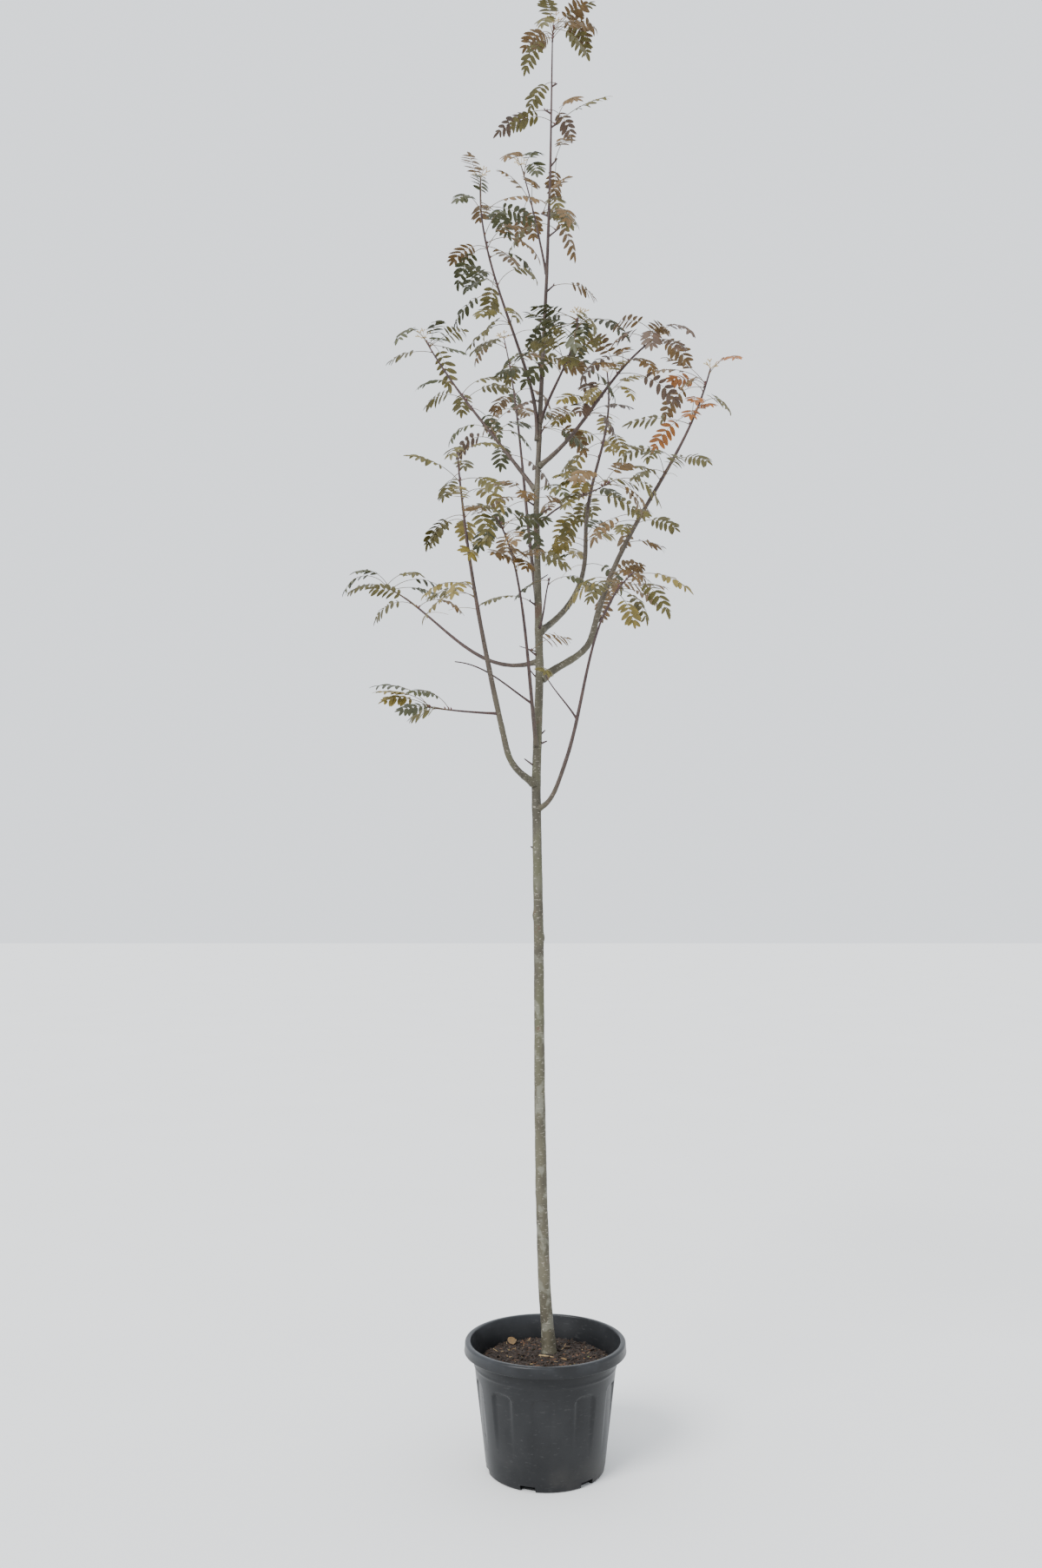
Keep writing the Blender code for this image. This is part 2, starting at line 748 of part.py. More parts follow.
def build():
    home = collection("potted_rowan")
    looks = {name: material(name) for name in COLOURS}
    made = [(pot(home), "pot"), (potting_bark(home), "bark")]

    spurs = [spur(k + 1, *row) for k, row in enumerate(SPURS)]
    shoots = [*SHOOTS, INNER_TWIG, tip_shoot(), *spurs]
    lines = {}
    for shoot in shoots:
        if shoot.parent == "tip":
            foot = trunk_axis(TRUNK_TIP) + np.array([0, 0, SEATED])
            lines[shoot.name] = evenly(np.array([foot, foot + (0.004, 0, TIP_LENGTH)]), LINE_POINTS)
        else:
            lines[shoot.name] = shoot_line(shoot, lines)

    made.append((trunk_bar("trunk", 0.0, home), "wood"))
    for shoot in SHOOTS:
        bough = bough_bar(shoot.name + "_bough", shoot, lines[shoot.name], 0.0, home)
        seat_on(bough, shoot, lines, home)
        largest_piece(bough.data)
        made.append((bough, "wood"))

    wood = wood_samples(shoots, lines)
    placed = np.zeros((0, 3))
    for shoot in shoots:
        leaves, placed = mass(shoot.name + "_leaves", shoot, lines, wood, placed, home)
        made.append((leaves, "leaf"))

    for obj, look in made:
        obj.data.materials.clear()
        obj.data.materials.append(looks[look])
        obj.data.shade_smooth()
        obj.data.set_sharp_from_angle(angle=math.radians(35))


clear_scene()
build()
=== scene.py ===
# %% [markdown]
# # A young rowan in a nursery pot
# The solids of the part come in as a fixed frame. This lesson dresses them: a moulded plastic pot,
# rough potting bark, wood with its bark's relief, and pinnate leaves that grow by a seeded rule.
# The camera comes first, so that every later cell can be judged from the photograph's own place.

# %% Frame and camera
import json
import math
import random
from typing import NamedTuple

import bpy
import numpy as np
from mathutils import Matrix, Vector, noise

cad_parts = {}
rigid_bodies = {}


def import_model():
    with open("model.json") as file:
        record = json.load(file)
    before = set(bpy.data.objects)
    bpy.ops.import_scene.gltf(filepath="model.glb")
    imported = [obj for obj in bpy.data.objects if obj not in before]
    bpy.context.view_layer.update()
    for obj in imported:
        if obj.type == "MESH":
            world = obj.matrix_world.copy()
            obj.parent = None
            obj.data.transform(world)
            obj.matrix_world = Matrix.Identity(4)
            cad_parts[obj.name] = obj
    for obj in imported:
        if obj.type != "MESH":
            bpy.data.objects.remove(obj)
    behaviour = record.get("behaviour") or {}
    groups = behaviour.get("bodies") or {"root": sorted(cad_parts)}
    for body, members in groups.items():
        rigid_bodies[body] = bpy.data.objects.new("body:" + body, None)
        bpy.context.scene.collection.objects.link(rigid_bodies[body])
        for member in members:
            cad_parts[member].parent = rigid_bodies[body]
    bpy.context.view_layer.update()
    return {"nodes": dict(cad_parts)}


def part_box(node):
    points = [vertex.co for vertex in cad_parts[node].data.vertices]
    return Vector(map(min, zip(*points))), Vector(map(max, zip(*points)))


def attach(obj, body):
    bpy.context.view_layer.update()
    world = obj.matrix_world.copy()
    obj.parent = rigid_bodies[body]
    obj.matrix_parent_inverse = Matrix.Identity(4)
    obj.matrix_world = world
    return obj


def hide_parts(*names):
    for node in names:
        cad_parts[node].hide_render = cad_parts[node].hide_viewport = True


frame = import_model()

CAMERA_PLACE = (-0.0642, -3.597, 1.528)
CAMERA_PITCH = 4.256
LENS_MM = 30.4

camera_data = bpy.data.cameras.new("camera")
camera_data.lens = LENS_MM
camera = bpy.data.objects.new("camera", camera_data)
camera.location = CAMERA_PLACE
camera.rotation_euler = (math.radians(90 + CAMERA_PITCH), 0, 0)
bpy.context.scene.collection.objects.link(camera)
bpy.context.scene.camera = camera

# %% [markdown]
# ## Shader arithmetic
# A pattern is easier to read as an expression than as a web of nodes. A value wraps a socket, and each
# operator adds the Math node that does its work.

# %% Shader helper


class Value:
    """A node's output that can be added, subtracted and multiplied."""

    def __init__(self, sheet, socket):
        self.sheet = sheet
        self.socket = socket

    def __add__(self, other):
        return self.sheet.math("ADD", self, other)

    __radd__ = __add__

    def __mul__(self, other):
        return self.sheet.math("MULTIPLY", self, other)

    __rmul__ = __mul__

    def __sub__(self, other):
        return self.sheet.math("SUBTRACT", self, other)

    def __rsub__(self, other):
        return self.sheet.math("SUBTRACT", other, self)

    def between(self, low, high):
        """0 below low, 1 above high, and a smooth rise from one to the other."""
        return self.sheet.node("MapRange", {"interpolation_type": "SMOOTHSTEP"},
                               {"Value": self, "From Min": low, "From Max": high})


class Finish:
    """A material whose shader's sockets take numbers, colours or values."""

    def __init__(self, name, roughness=0.7, **constants):
        self.material = bpy.data.materials.new(name)
        self.material.use_nodes = True
        self.tree = self.material.node_tree
        self.shader = self.tree.nodes["Principled BSDF"]
        self.shader.inputs["Roughness"].default_value = roughness
        for socket, value in constants.items():
            self.shader.inputs[socket.replace("_", " ")].default_value = value
        self.place = self.node("TexCoord", {}, {}, "Object")

    def feed(self, socket, value):
        if isinstance(value, Value):
            self.tree.links.new(value.socket, socket)
        elif isinstance(value, tuple) and len(value) == 3 and len(socket.default_value) == 4:
            socket.default_value = (*value, 1.0)
        else:
            socket.default_value = value

    def node(self, kind, settings, sockets, output=0):
        made = self.tree.nodes.new("ShaderNode" + kind)
        for name, value in settings.items():
            setattr(made, name, value)
        for name, value in sockets.items():
            self.feed(made.inputs[name], value)
        return Value(self, made.outputs[output])

    def math(self, operation, first, second):
        return self.node("Math", {"operation": operation}, {0: first, 1: second})

    def mix(self, factor, first, second):
        return self.node("Mix", {"data_type": "RGBA"}, {0: factor, 6: first, 7: second}, 2)

    def stretched(self, scale):
        return self.node("Mapping", {}, {"Vector": self.place, "Scale": scale})

    def noise(self, scale, detail=4.0, place=None):
        return self.node("TexNoise", {}, {"Vector": place or self.place, "Scale": scale, "Detail": detail})

    def bump(self, height, strength, distance):
        relief = self.node("Bump", {}, {"Height": height, "Strength": strength, "Distance": distance})
        self.feed(self.shader.inputs["Normal"], relief)

    def colour(self, value):
        self.feed(self.shader.inputs["Base Color"], value)

    def roughness(self, value):
        self.feed(self.shader.inputs["Roughness"], value)


# %% [markdown]
# ## Pot finish
# Nursery pots are injection moulded in black plastic with a satin skin. Handling leaves fine pale
# scuffs on the lip and dust low on the wall, so two noises lighten the colour and dull the gloss.

# %% Pot plastic
pot_finish = Finish("pot_plastic", Specular_IOR_Level=0.22)
height = pot_finish.node("SeparateXYZ", {}, {"Vector": pot_finish.place}, "Z")
scuffs = pot_finish.noise(60.0, 8.0, pot_finish.stretched((1.0, 1.0, 4.0))).between(0.60, 0.72)
clouds = pot_finish.noise(9.0, 5.0)
worn_lip = height.between(0.296, 0.326) * clouds.between(0.35, 0.65)
plastic = pot_finish.mix(clouds.between(0.3, 0.7), (0.010, 0.0105, 0.0115), (0.017, 0.0175, 0.0185))
plastic = pot_finish.mix(worn_lip * 0.6, plastic, (0.036, 0.039, 0.044))
dust = (1.0 - height.between(0.0, 0.09)) * clouds.between(0.45, 0.75)
plastic = pot_finish.mix(dust * 0.35, plastic, (0.060, 0.053, 0.044))
pot_finish.colour(pot_finish.mix(scuffs * 0.25, plastic, (0.070, 0.070, 0.070)))
pot_finish.roughness(clouds * 0.16 + scuffs * 0.2 + 0.26)
pot_finish.bump(pot_finish.noise(420.0, 3.0), 0.12, 0.0005)
print("pot finish made")

# %% [markdown]
# ## Bark finish
# Young rowan bark is smooth. It is grey-brown with a green film of algae on the lower trunk, pale
# lenticels that lie across it, and mauve-brown young wood towards the tips. Each vertex stores how
# young its wood is, because that follows the limb and not a place in space.

# %% Bark
bark_finish = Finish("rowan_bark", 0.72)
age = bark_finish.node("Attribute", {"attribute_name": "youth"}, {}, "Fac")
height = bark_finish.node("SeparateXYZ", {}, {"Vector": bark_finish.place}, "Z")
patches = bark_finish.noise(7.0, 6.0, bark_finish.stretched((2.5, 2.5, 1.0)))
grain = bark_finish.noise(60.0, 5.0, bark_finish.stretched((3.0, 3.0, 0.6)))
old_bark = bark_finish.mix(patches.between(0.35, 0.65), (0.040, 0.034, 0.020), (0.094, 0.083, 0.052))
algae = height.between(0.5, 1.3) * (1.0 - height.between(1.7, 2.3)) * patches.between(0.42, 0.6)
old_bark = bark_finish.mix(algae * 0.55, old_bark, (0.052, 0.058, 0.022))
stains = bark_finish.noise(16.0, 3.0).between(0.62, 0.72)
old_bark = bark_finish.mix(stains * 0.5, old_bark, (0.090, 0.034, 0.020))
young_bark = bark_finish.mix(grain.between(0.35, 0.65), (0.030, 0.014, 0.013), (0.062, 0.034, 0.028))
wood_colour = bark_finish.mix(age, old_bark, young_bark)
flakes = bark_finish.noise(34.0, 5.0, bark_finish.stretched((1.0, 1.0, 0.7))).between(0.52, 0.62)
lichen = flakes * (1.0 - age) * (1.0 - height.between(0.9, 1.9))
wood_colour = bark_finish.mix(lichen * 0.5, wood_colour, (0.20, 0.20, 0.155))
specks = bark_finish.noise(95.0, 2.0, bark_finish.stretched((1.0, 1.0, 3.2))).between(0.62, 0.68)
old_specks = specks * (1.0 - age)
bark_finish.colour(bark_finish.mix(old_specks * 0.6, wood_colour, (0.34, 0.31, 0.25)))
bark_finish.roughness(grain * 0.25 + 0.55)
bark_finish.bump(grain * 0.7 + old_specks * 0.6, 0.5, 0.0012)
print("bark finish made")

# %% [markdown]
# ## Leaf and small finishes
# Autumn has turned some leaves and not others. Each spray gets one plain tint, and the material only
# mottles it slightly, so the colours stay with their leaves.

# %% Leaf tints
LEAF_TINTS = {
    "olive": (0.098, 0.080, 0.012),
    "bronze": (0.128, 0.070, 0.016),
    "dark_green": (0.046, 0.048, 0.009),
    "purple_grey": (0.090, 0.052, 0.030),
    "yellow_olive": (0.165, 0.122, 0.017),
    "golden": (0.290, 0.098, 0.010),
}
TINT_SHARES = (0.34, 0.20, 0.16, 0.09, 0.17, 0.04)


def mottled(name, colour, roughness, grain_scale, depth=0.55, relief=0.0006):
    finish = Finish(name, roughness)
    grain = finish.noise(grain_scale, 4.0)
    dark = tuple(channel * depth for channel in colour)
    finish.colour(finish.mix(grain.between(0.35, 0.65), dark, colour))
    finish.roughness(grain * 0.2 + (roughness - 0.1))
    finish.bump(grain, 0.4, relief)
    return finish.material


leaf_finishes = {name: mottled("leaf_" + name, tint, 0.55, 70.0, 0.72) for name, tint in LEAF_TINTS.items()}
stalk_finish = mottled("leaf_stalk", (0.150, 0.100, 0.036), 0.6, 90.0)
dry_stalk_finish = mottled("dry_stalk", (0.30, 0.21, 0.10), 0.75, 120.0)
bud_finish = mottled("bud", (0.115, 0.030, 0.030), 0.5, 200.0)
soil_finish = mottled("potting_bark", (0.022, 0.014, 0.009), 0.95, 90.0, 0.35, 0.004)
head_finish = mottled("flower_head", (0.52, 0.38, 0.17), 0.75, 150.0, 0.8)
chip_finishes = {
    "dark_chips": mottled("dark_chip", (0.026, 0.015, 0.009), 0.9, 160.0, 0.4),
    "brown_chips": mottled("brown_chip", (0.105, 0.050, 0.024), 0.85, 160.0),
    "straw_bits": mottled("straw", (0.36, 0.25, 0.12), 0.8, 160.0),
    "green_bits": mottled("green_bit", (0.12, 0.15, 0.03), 0.6, 160.0),
    "rusty_bits": mottled("rusty_bit", (0.33, 0.13, 0.035), 0.7, 160.0),
}
print(len(bpy.data.materials), "materials")

# %% [markdown]
# ## Meshes from arrays
# A few dozen points repeated thousands of times are quickest as arrays that are joined once. The
# class below gathers vertices and faces, and makes one object of them.

# %% Array builder


class Gather:
    """Vertices and faces of many small things that become one piece."""

    def __init__(self):
        self.points = []
        self.faces = []
        self.count = 0

    def add(self, points, faces):
        self.points.append(np.asarray(points, dtype=float))
        self.faces.extend([tuple(i + self.count for i in face) for face in faces])
        self.count += len(points)

    def piece(self, name, finish, slot, smooth=True):
        mesh = bpy.data.meshes.new(name)
        mesh.from_pydata(np.vstack(self.points).tolist(), [], self.faces)
        mesh.materials.append(finish)
        if smooth:
            mesh.shade_smooth()
        obj = bpy.data.objects.new(name, mesh)
        bpy.context.scene.collection.objects.link(obj)
        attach(obj, "root")
        print(name, len(self.faces), "faces")
        return obj


def tube_arrays(points, radii, sides):
    """Rings round a line and the faces between them, closed at both ends."""
    points = np.asarray(points, dtype=float)
    ahead = np.gradient(points, axis=0)
    ahead /= np.linalg.norm(ahead, axis=1)[:, None]
    first = np.cross(ahead[0], (0.31, 0.87, 0.39))
    rings = []
    for place, heading, radius in zip(points, ahead, radii):
        first = first - heading * np.dot(first, heading)
        first /= np.linalg.norm(first)
        second = np.cross(heading, first)
        turns = np.arange(sides) * 2 * math.pi / sides
        rings.append(place + radius * (np.cos(turns)[:, None] * first + np.sin(turns)[:, None] * second))
    faces = [tuple(range(sides))[::-1]]
    for k in range(len(points) - 1):
        a, b = k * sides, (k + 1) * sides
        faces += [(a + i, a + (i + 1) % sides, b + (i + 1) % sides, b + i) for i in range(sides)]
    last = (len(points) - 1) * sides
    faces.append(tuple(range(last, last + sides)))
    return np.vstack(rings), faces


# %% [markdown]
# ## The tree's growth rule
# The limbs are lines in upright planes, and the leaves sit on them by a seeded rule. The rule and its
# named sizes are the solids' own, written again here, so the dressed tree grows where the solids are.

# %% Named sizes of the tree
GAP = 0.0003
BARK_SEAT = 0.2827
TRUNK_FOOT = BARK_SEAT + GAP
TRUNK_TIP = 3.912
# The trunk's axis as (height, to the right, away), and its radius at named heights
TRUNK_AXIS = (
    (TRUNK_FOOT, 0.010, 0.020),
    (0.300, 0.010, 0.020),
    (0.46, -0.002, 0.018),
    (0.71, -0.010, 0.015),
    (0.96, -0.014, 0.012),
    (1.37, -0.016, 0.010),
    (1.80, -0.023, 0.004),
    (2.10, -0.013, 0.0),
    (2.56, -0.022, 0.0),
    (2.94, -0.006, 0.0),
    (3.22, 0.008, 0.0),
    (3.55, 0.019, 0.0),
    (TRUNK_TIP, 0.025, 0.0),
)
TRUNK_GIRTH = (
    (TRUNK_FOOT, 0.0225),
    (0.300, 0.0195),
    (0.36, 0.0170),
    (1.0, 0.0145),
    (2.1, 0.0115),
    (2.55, 0.0082),
    (3.2, 0.0048),
    (TRUNK_TIP, 0.0020),
)
HANDLE = 0.36
KNOT_STEPS = 16
LINE_POINTS = 49
SPUR_SLOPE = 30
SPUR_GIRTH = (0.0022, 0.0018)
TIP_LENGTH = 0.055
FIRST_SPUR_SEED = 200
SEATED = 0.0003
GOLDEN_TURN = 137.5
LEAF_LENGTH = 0.165
LENGTH_SPREAD = (0.78, 1.22)
TURN_SPREAD = 35
RISE = (5, 65)
FALL = (5, 85)
ROLL = 35
LEAF_STATIONS = 13
FALL_POWER = 0.9
STALK_SHARE = 0.38
LEAFLET_LENGTH = 0.031
LEAF_CLEAR = 0.006
LIMB_CLEAR = 0.005
STALK_FREE_FROM = 3

# %% Shoots and spurs


class Flush(NamedTuple):
    """A run of leaves on a shoot, from one share of its length to another."""

    start: float
    end: float
    leaves: int
    seed: int


class Shoot(NamedTuple):
    """A line in an upright plane at a heading: it passes knots of (reach, rise, slope) from its foot's
    height on the parent, and is bare wood up to the share of its length where its leaves begin."""

    name: str
    parent: str
    foot: float
    heading: float
    knots: tuple
    girth: tuple
    enters: float
    flushes: tuple


SHOOTS = (
    Shoot("left_low", "trunk", 1.800, -135, ((0, 0, 22), (0.100, 0.082, 72), (0.283, 0.857, 83)),
          (0.0095, 0.0022), 0.46,
          (Flush(0.50, 0.74, 2, 1), Flush(0.76, 0.88, 3, 2), Flush(0.88, 0.99, 2, 3))),
    Shoot("left_low_side", "left_low", 1.971, -162, ((0, 0, 0), (0.195, 0.009, 5)),
          (0.0036, 0.0018), 0.50,
          (Flush(0.60, 0.80, 1, 4), Flush(0.92, 1.0, 2, 5))),
    Shoot("right_low", "trunk", 1.730, -48, ((0, 0, 12), (0.097, 0.110, 62), (0.354, 0.588, 25)),
          (0.0066, 0.0020), 0.80,
          (Flush(0.86, 1.0, 3, 6),)),
    Shoot("right_low_side", "right_low", 1.962, -150, ((0, 0, 53), (0.097, 0.109, 55)),
          (0.0026, 0.0015), 0.80,
          (Flush(0.85, 1.0, 1, 7),)),
    Shoot("front", "trunk", 1.906, -109, ((0, 0, 70), (0.320, 0.543, 14)),
          (0.0058, 0.0020), 0.58,
          (Flush(0.62, 0.84, 2, 8), Flush(0.86, 1.0, 3, 9))),
    Shoot("front_side", "front", 2.006, -153, ((0, 0, 28), (0.228, 0.097, 0)),
          (0.0030, 0.0016), 0.84,
          (Flush(0.90, 1.0, 1, 10),)),
    Shoot("right_mid", "trunk", 2.090, 13, ((0, 0, 40), (0.141, 0.127, 78), (0.496, 0.912, 75)),
          (0.0105, 0.0024), 0.24,
          (Flush(0.27, 0.38, 2, 11), Flush(0.42, 0.56, 3, 12), Flush(0.60, 0.76, 2, 13),
           Flush(0.80, 0.90, 2, 14), Flush(0.92, 1.0, 2, 15))),
    Shoot("right_mid_side", "right_mid", 2.239, 43, ((0, 0, 35), (0.099, 0.121, 53)),
          (0.0026, 0.0016), 0.60,
          (Flush(0.80, 1.0, 2, 16),)),
    Shoot("left_mid", "trunk", 2.131, 162, ((0, 0, -14), (0.461, 0.247, 25)),
          (0.0064, 0.0018), 0.62,
          (Flush(0.66, 0.80, 1, 17), Flush(0.90, 1.0, 2, 18))),
    Shoot("right_high", "trunk", 2.219, 59, ((0, 0, 27), (0.264, 0.305, 92), (0.408, 0.868, 106)),
          (0.0095, 0.0024), 0.30,
          (Flush(0.32, 0.46, 3, 19), Flush(0.48, 0.62, 2, 20), Flush(0.68, 0.84, 3, 21),
           Flush(0.86, 1.0, 2, 22))),
    Shoot("right_top", "trunk", 2.681, -30, ((0, 0, 26), (0.360, 0.293, 22)),
          (0.0066, 0.0022), 0.28,
          (Flush(0.32, 0.56, 2, 23), Flush(0.62, 0.82, 2, 24), Flush(0.86, 1.0, 3, 25))),
    Shoot("left_high", "trunk", 2.616, 156, ((0, 0, 54), (0.348, 0.488, 60)),
          (0.0062, 0.0020), 0.16,
          (Flush(0.20, 0.42, 3, 26), Flush(0.46, 0.74, 2, 27), Flush(0.90, 1.0, 3, 28))),
    Shoot("rear", "trunk", 2.295, 106, ((0, 0, 67), (0.350, 0.894, 57)),
          (0.0058, 0.0018), 0.56,
          (Flush(0.60, 0.80, 2, 29), Flush(0.82, 1.0, 2, 30))),
    Shoot("second_leader", "trunk", 2.755, -147, ((0, 0, 91), (0.030, 0.171, 69), (0.185, 0.697, 94)),
          (0.0056, 0.0020), 0.33,
          (Flush(0.36, 0.50, 1, 31), Flush(0.52, 0.66, 3, 32), Flush(0.67, 0.80, 3, 33),
           Flush(0.82, 0.98, 3, 34))),
    Shoot("front_top", "trunk", 2.804, -68, ((0, 0, 45), (0.252, 0.197, 74)),
          (0.0046, 0.0018), 0.40,
          (Flush(0.45, 0.72, 2, 35), Flush(0.76, 0.90, 2, 36), Flush(0.90, 1.0, 2, 37))),
    Shoot("front_twig", "trunk", 2.512, -58, ((0, 0, 20), (0.344, 0.032, 6)),
          (0.0032, 0.0016), 0.45,
          (Flush(0.50, 0.75, 1, 38), Flush(0.86, 1.0, 2, 39))),
    Shoot("leader_side", "trunk", 3.235, 115, ((0, 0, 70), (0.168, 0.400, 63)),
          (0.0036, 0.0016), 0.45,
          (Flush(0.50, 0.76, 2, 40), Flush(0.80, 1.0, 1, 41))),
)
# Spurs on the trunk, from the top down: height, heading, length, leaves
SPURS = (
    (3.780, 0, 0.012, 1),
    (3.700, 180, 0.015, 2),
    (3.660, 0, 0.012, 2),
    (3.545, -40, 0.020, 2),
    (3.400, 150, 0.020, 2),
    (3.340, -20, 0.030, 4),
    (3.180, -30, 0.020, 1),
    (3.090, 170, 0.020, 1),
    (2.930, -100, 0.040, 4),
    (2.770, -60, 0.020, 2),
    (2.570, 190, 0.020, 2),
    (2.540, -20, 0.030, 2),
    (2.290, 200, 0.015, 1),
    (2.150, 210, 0.020, 1),
)
INNER_TWIG = Shoot("inner_twig", "trunk", 2.225, -75, ((0, 0, 30), (0.100, 0.116, 30)),
                   (0.0030, 0.0018), 0.0, (Flush(0.80, 1.0, 2, 42),))
TIP_FLUSHES = (Flush(0.0, 0.5, 2, 43), Flush(0.4, 1.0, 2, 44))

# %% Lines of wood


def table_at(table, height, column):
    return float(np.interp(height, [row[0] for row in table], [row[column] for row in table]))


def trunk_axis(height):
    return np.array([table_at(TRUNK_AXIS, height, 1), table_at(TRUNK_AXIS, height, 2), height])


def trunk_radius(height):
    return table_at(TRUNK_GIRTH, height, 1)


def direction(slope):
    return np.array([math.cos(math.radians(slope)), math.sin(math.radians(slope))])


def flat_line(knots):
    """The shoot's line in its own plane as (outward, upward): one Bezier arc from knot to knot."""
    line = [np.zeros(2)]
    for (reach, rise, slope), (next_reach, next_rise, next_slope) in zip(knots, knots[1:]):
        start = np.array([reach, rise])
        end = np.array([next_reach, next_rise])
        handle = HANDLE * np.linalg.norm(end - start)
        first = start + handle * direction(slope)
        second = end - handle * direction(next_slope)
        for k in range(1, KNOT_STEPS + 1):
            t = k / KNOT_STEPS
            near = (1 - t) ** 3 * start + 3 * (1 - t) ** 2 * t * first
            line.append(near + 3 * (1 - t) * t * t * second + t ** 3 * end)
    return np.array(line)


def distances(line):
    return np.r_[0, np.cumsum(np.linalg.norm(np.diff(line, axis=0), axis=1))]


def at_distances(line, wanted):
    steps = distances(line)
    return np.stack([np.interp(wanted, steps, line[:, axis]) for axis in range(3)], 1)


def evenly(line, count):
    return at_distances(line, np.linspace(0, distances(line)[-1], count))


def outward(heading):
    return np.array([math.cos(math.radians(heading)), math.sin(math.radians(heading)), 0.0])


def shoot_line(shoot, lines):
    """The shoot's points in space, starting on the surface of the trunk or at its parent's middle."""
    if shoot.parent == "trunk":
        foot = trunk_axis(shoot.foot) + outward(shoot.heading) * trunk_radius(shoot.foot)
    else:
        parent = lines[shoot.parent]
        foot = parent[np.argmin(abs(parent[:, 2] - shoot.foot))]
    flat = flat_line(shoot.knots)
    line = foot + flat[:, :1] * outward(shoot.heading) + flat[:, 1:] * np.array([0, 0, 1.0])
    return evenly(line, LINE_POINTS)


def spur(number, height, heading, length, leaves):
    rise = length * math.tan(math.radians(SPUR_SLOPE))
    return Shoot(f"trunk_spur_{number}", "trunk", height, heading,
                 ((0, 0, SPUR_SLOPE), (length, rise, SPUR_SLOPE)), SPUR_GIRTH, 0.0,
                 (Flush(0.6, 1.0, leaves, FIRST_SPUR_SEED + number),))


def tip_shoot():
    return Shoot("trunk_tip", "tip", TRUNK_TIP, 0, (), (0.0020, 0.0012), 0.0, TIP_FLUSHES)


shoots = [*SHOOTS, INNER_TWIG, tip_shoot(), *[spur(k + 1, *row) for k, row in enumerate(SPURS)]]
lines = {}
for shoot in shoots:
    if shoot.parent == "tip":
        foot = trunk_axis(TRUNK_TIP) + np.array([0, 0, SEATED])
        lines[shoot.name] = evenly(np.array([foot, foot + (0.004, 0, TIP_LENGTH)]), LINE_POINTS)
    else:
        lines[shoot.name] = shoot_line(shoot, lines)
print(len(shoots), "shoots")

# %% Leaves by the rule


class Leaf(NamedTuple):
    """A pinnate leaf whose rib lies in an upright plane: its heading, length, slopes and roll."""

    foot: np.ndarray
    heading: float
    length: float
    rise: float
    fall: float
    roll: float


def flush_leaves(flush, line):
    """The seeded rule: each leaf turns on by the golden angle, and arches up and then down."""
    rng = random.Random(flush.seed)
    turn = rng.uniform(0, 360)
    length = distances(line)[-1]
    leaves = []
    for k in range(flush.leaves):
        step = (k + 0.5 + rng.uniform(-0.25, 0.25)) / flush.leaves
        share = min(flush.start + (flush.end - flush.start) * step, 1.0)
        turn += GOLDEN_TURN
        leaves.append(Leaf(
            foot=at_distances(line, [share * length])[0],
            heading=turn + rng.uniform(-TURN_SPREAD, TURN_SPREAD),
            length=LEAF_LENGTH * rng.uniform(*LENGTH_SPREAD),
            rise=rng.uniform(*RISE),
            fall=-rng.uniform(*FALL),
            roll=rng.uniform(-ROLL, ROLL),
        ))
    return leaves


def leaf_frame(leaf):
    """Points along the rib, with the directions along it, across the blade and out of its face."""
    shares = np.linspace(0, 1, LEAF_STATIONS)
    slope = np.radians(leaf.rise + (leaf.fall - leaf.rise) * shares ** FALL_POWER)
    middle = (slope[1:] + slope[:-1]) / 2
    step = leaf.length / (LEAF_STATIONS - 1)
    out = outward(leaf.heading)
    up = np.array([0, 0, 1.0])
    side = np.cross(up, out)
    reach = np.r_[0, np.cumsum(np.cos(middle)) * step]
    rise = np.r_[0, np.cumsum(np.sin(middle)) * step]
    rib = leaf.foot + reach[:, None] * out + rise[:, None] * up
    along = np.cos(slope)[:, None] * out + np.sin(slope)[:, None] * up
    face = np.cross(along, side)
    roll = math.radians(leaf.roll)
    across = math.cos(roll) * side + math.sin(roll) * face
    return shares, rib, along, across, np.cross(along, across)


def blade_half_width(share):
    """The blade's half width along the rib: narrow where it starts, widest past its middle third."""
    part = np.clip((share - STALK_SHARE) / (1 - STALK_SHARE), 0, 1)
    return LEAFLET_LENGTH * np.sin(part * math.pi * 0.82 + 0.42) ** 0.7


def leaf_samples(leaf):
    """Points over the leaf past its stalk's foot, for telling what it would touch."""
    shares, rib, _, across, _ = leaf_frame(leaf)
    blade = shares >= STALK_SHARE
    half = blade_half_width(shares[blade])[:, None]
    rows = [rib[~blade][STALK_FREE_FROM:]]
    for lateral in (-1, -0.66, -0.33, 0, 0.33, 0.66, 1):
        rows.append(rib[blade] + across[blade] * lateral * half)
    return np.vstack(rows)


def touches(points, wood, leaves):
    gaps = np.linalg.norm(wood[:, None, :3] - points[None], axis=2) - wood[:, 3:]
    if gaps.min() < LIMB_CLEAR:
        return True
    if len(leaves) == 0:
        return False
    return np.linalg.norm(leaves[:, None] - points[None], axis=2).min() < LEAF_CLEAR


def wood_samples(shoots, lines):
    """Points down the middle of every limb, with its radius there."""
    rows = []
    heights = np.linspace(TRUNK_FOOT, TRUNK_TIP, 400)
    rows.append(np.array([[*trunk_axis(h), trunk_radius(h)] for h in heights]))
    for shoot in shoots:
        line = evenly(lines[shoot.name], 60)
        rows.append(np.c_[line, np.linspace(*shoot.girth, 60)])
    return np.vstack(rows)


# %% [markdown]
# ## Trunk and boughs
# The trunk could be a plain tapering tube, but real bark has swellings at old buds, rings under the
# forks and a fine unevenness. Dense rings are laid along each limb and every vertex is then moved
# out or in by noise, by knobs at their own heights, and by a collar where a bough leaves the trunk.

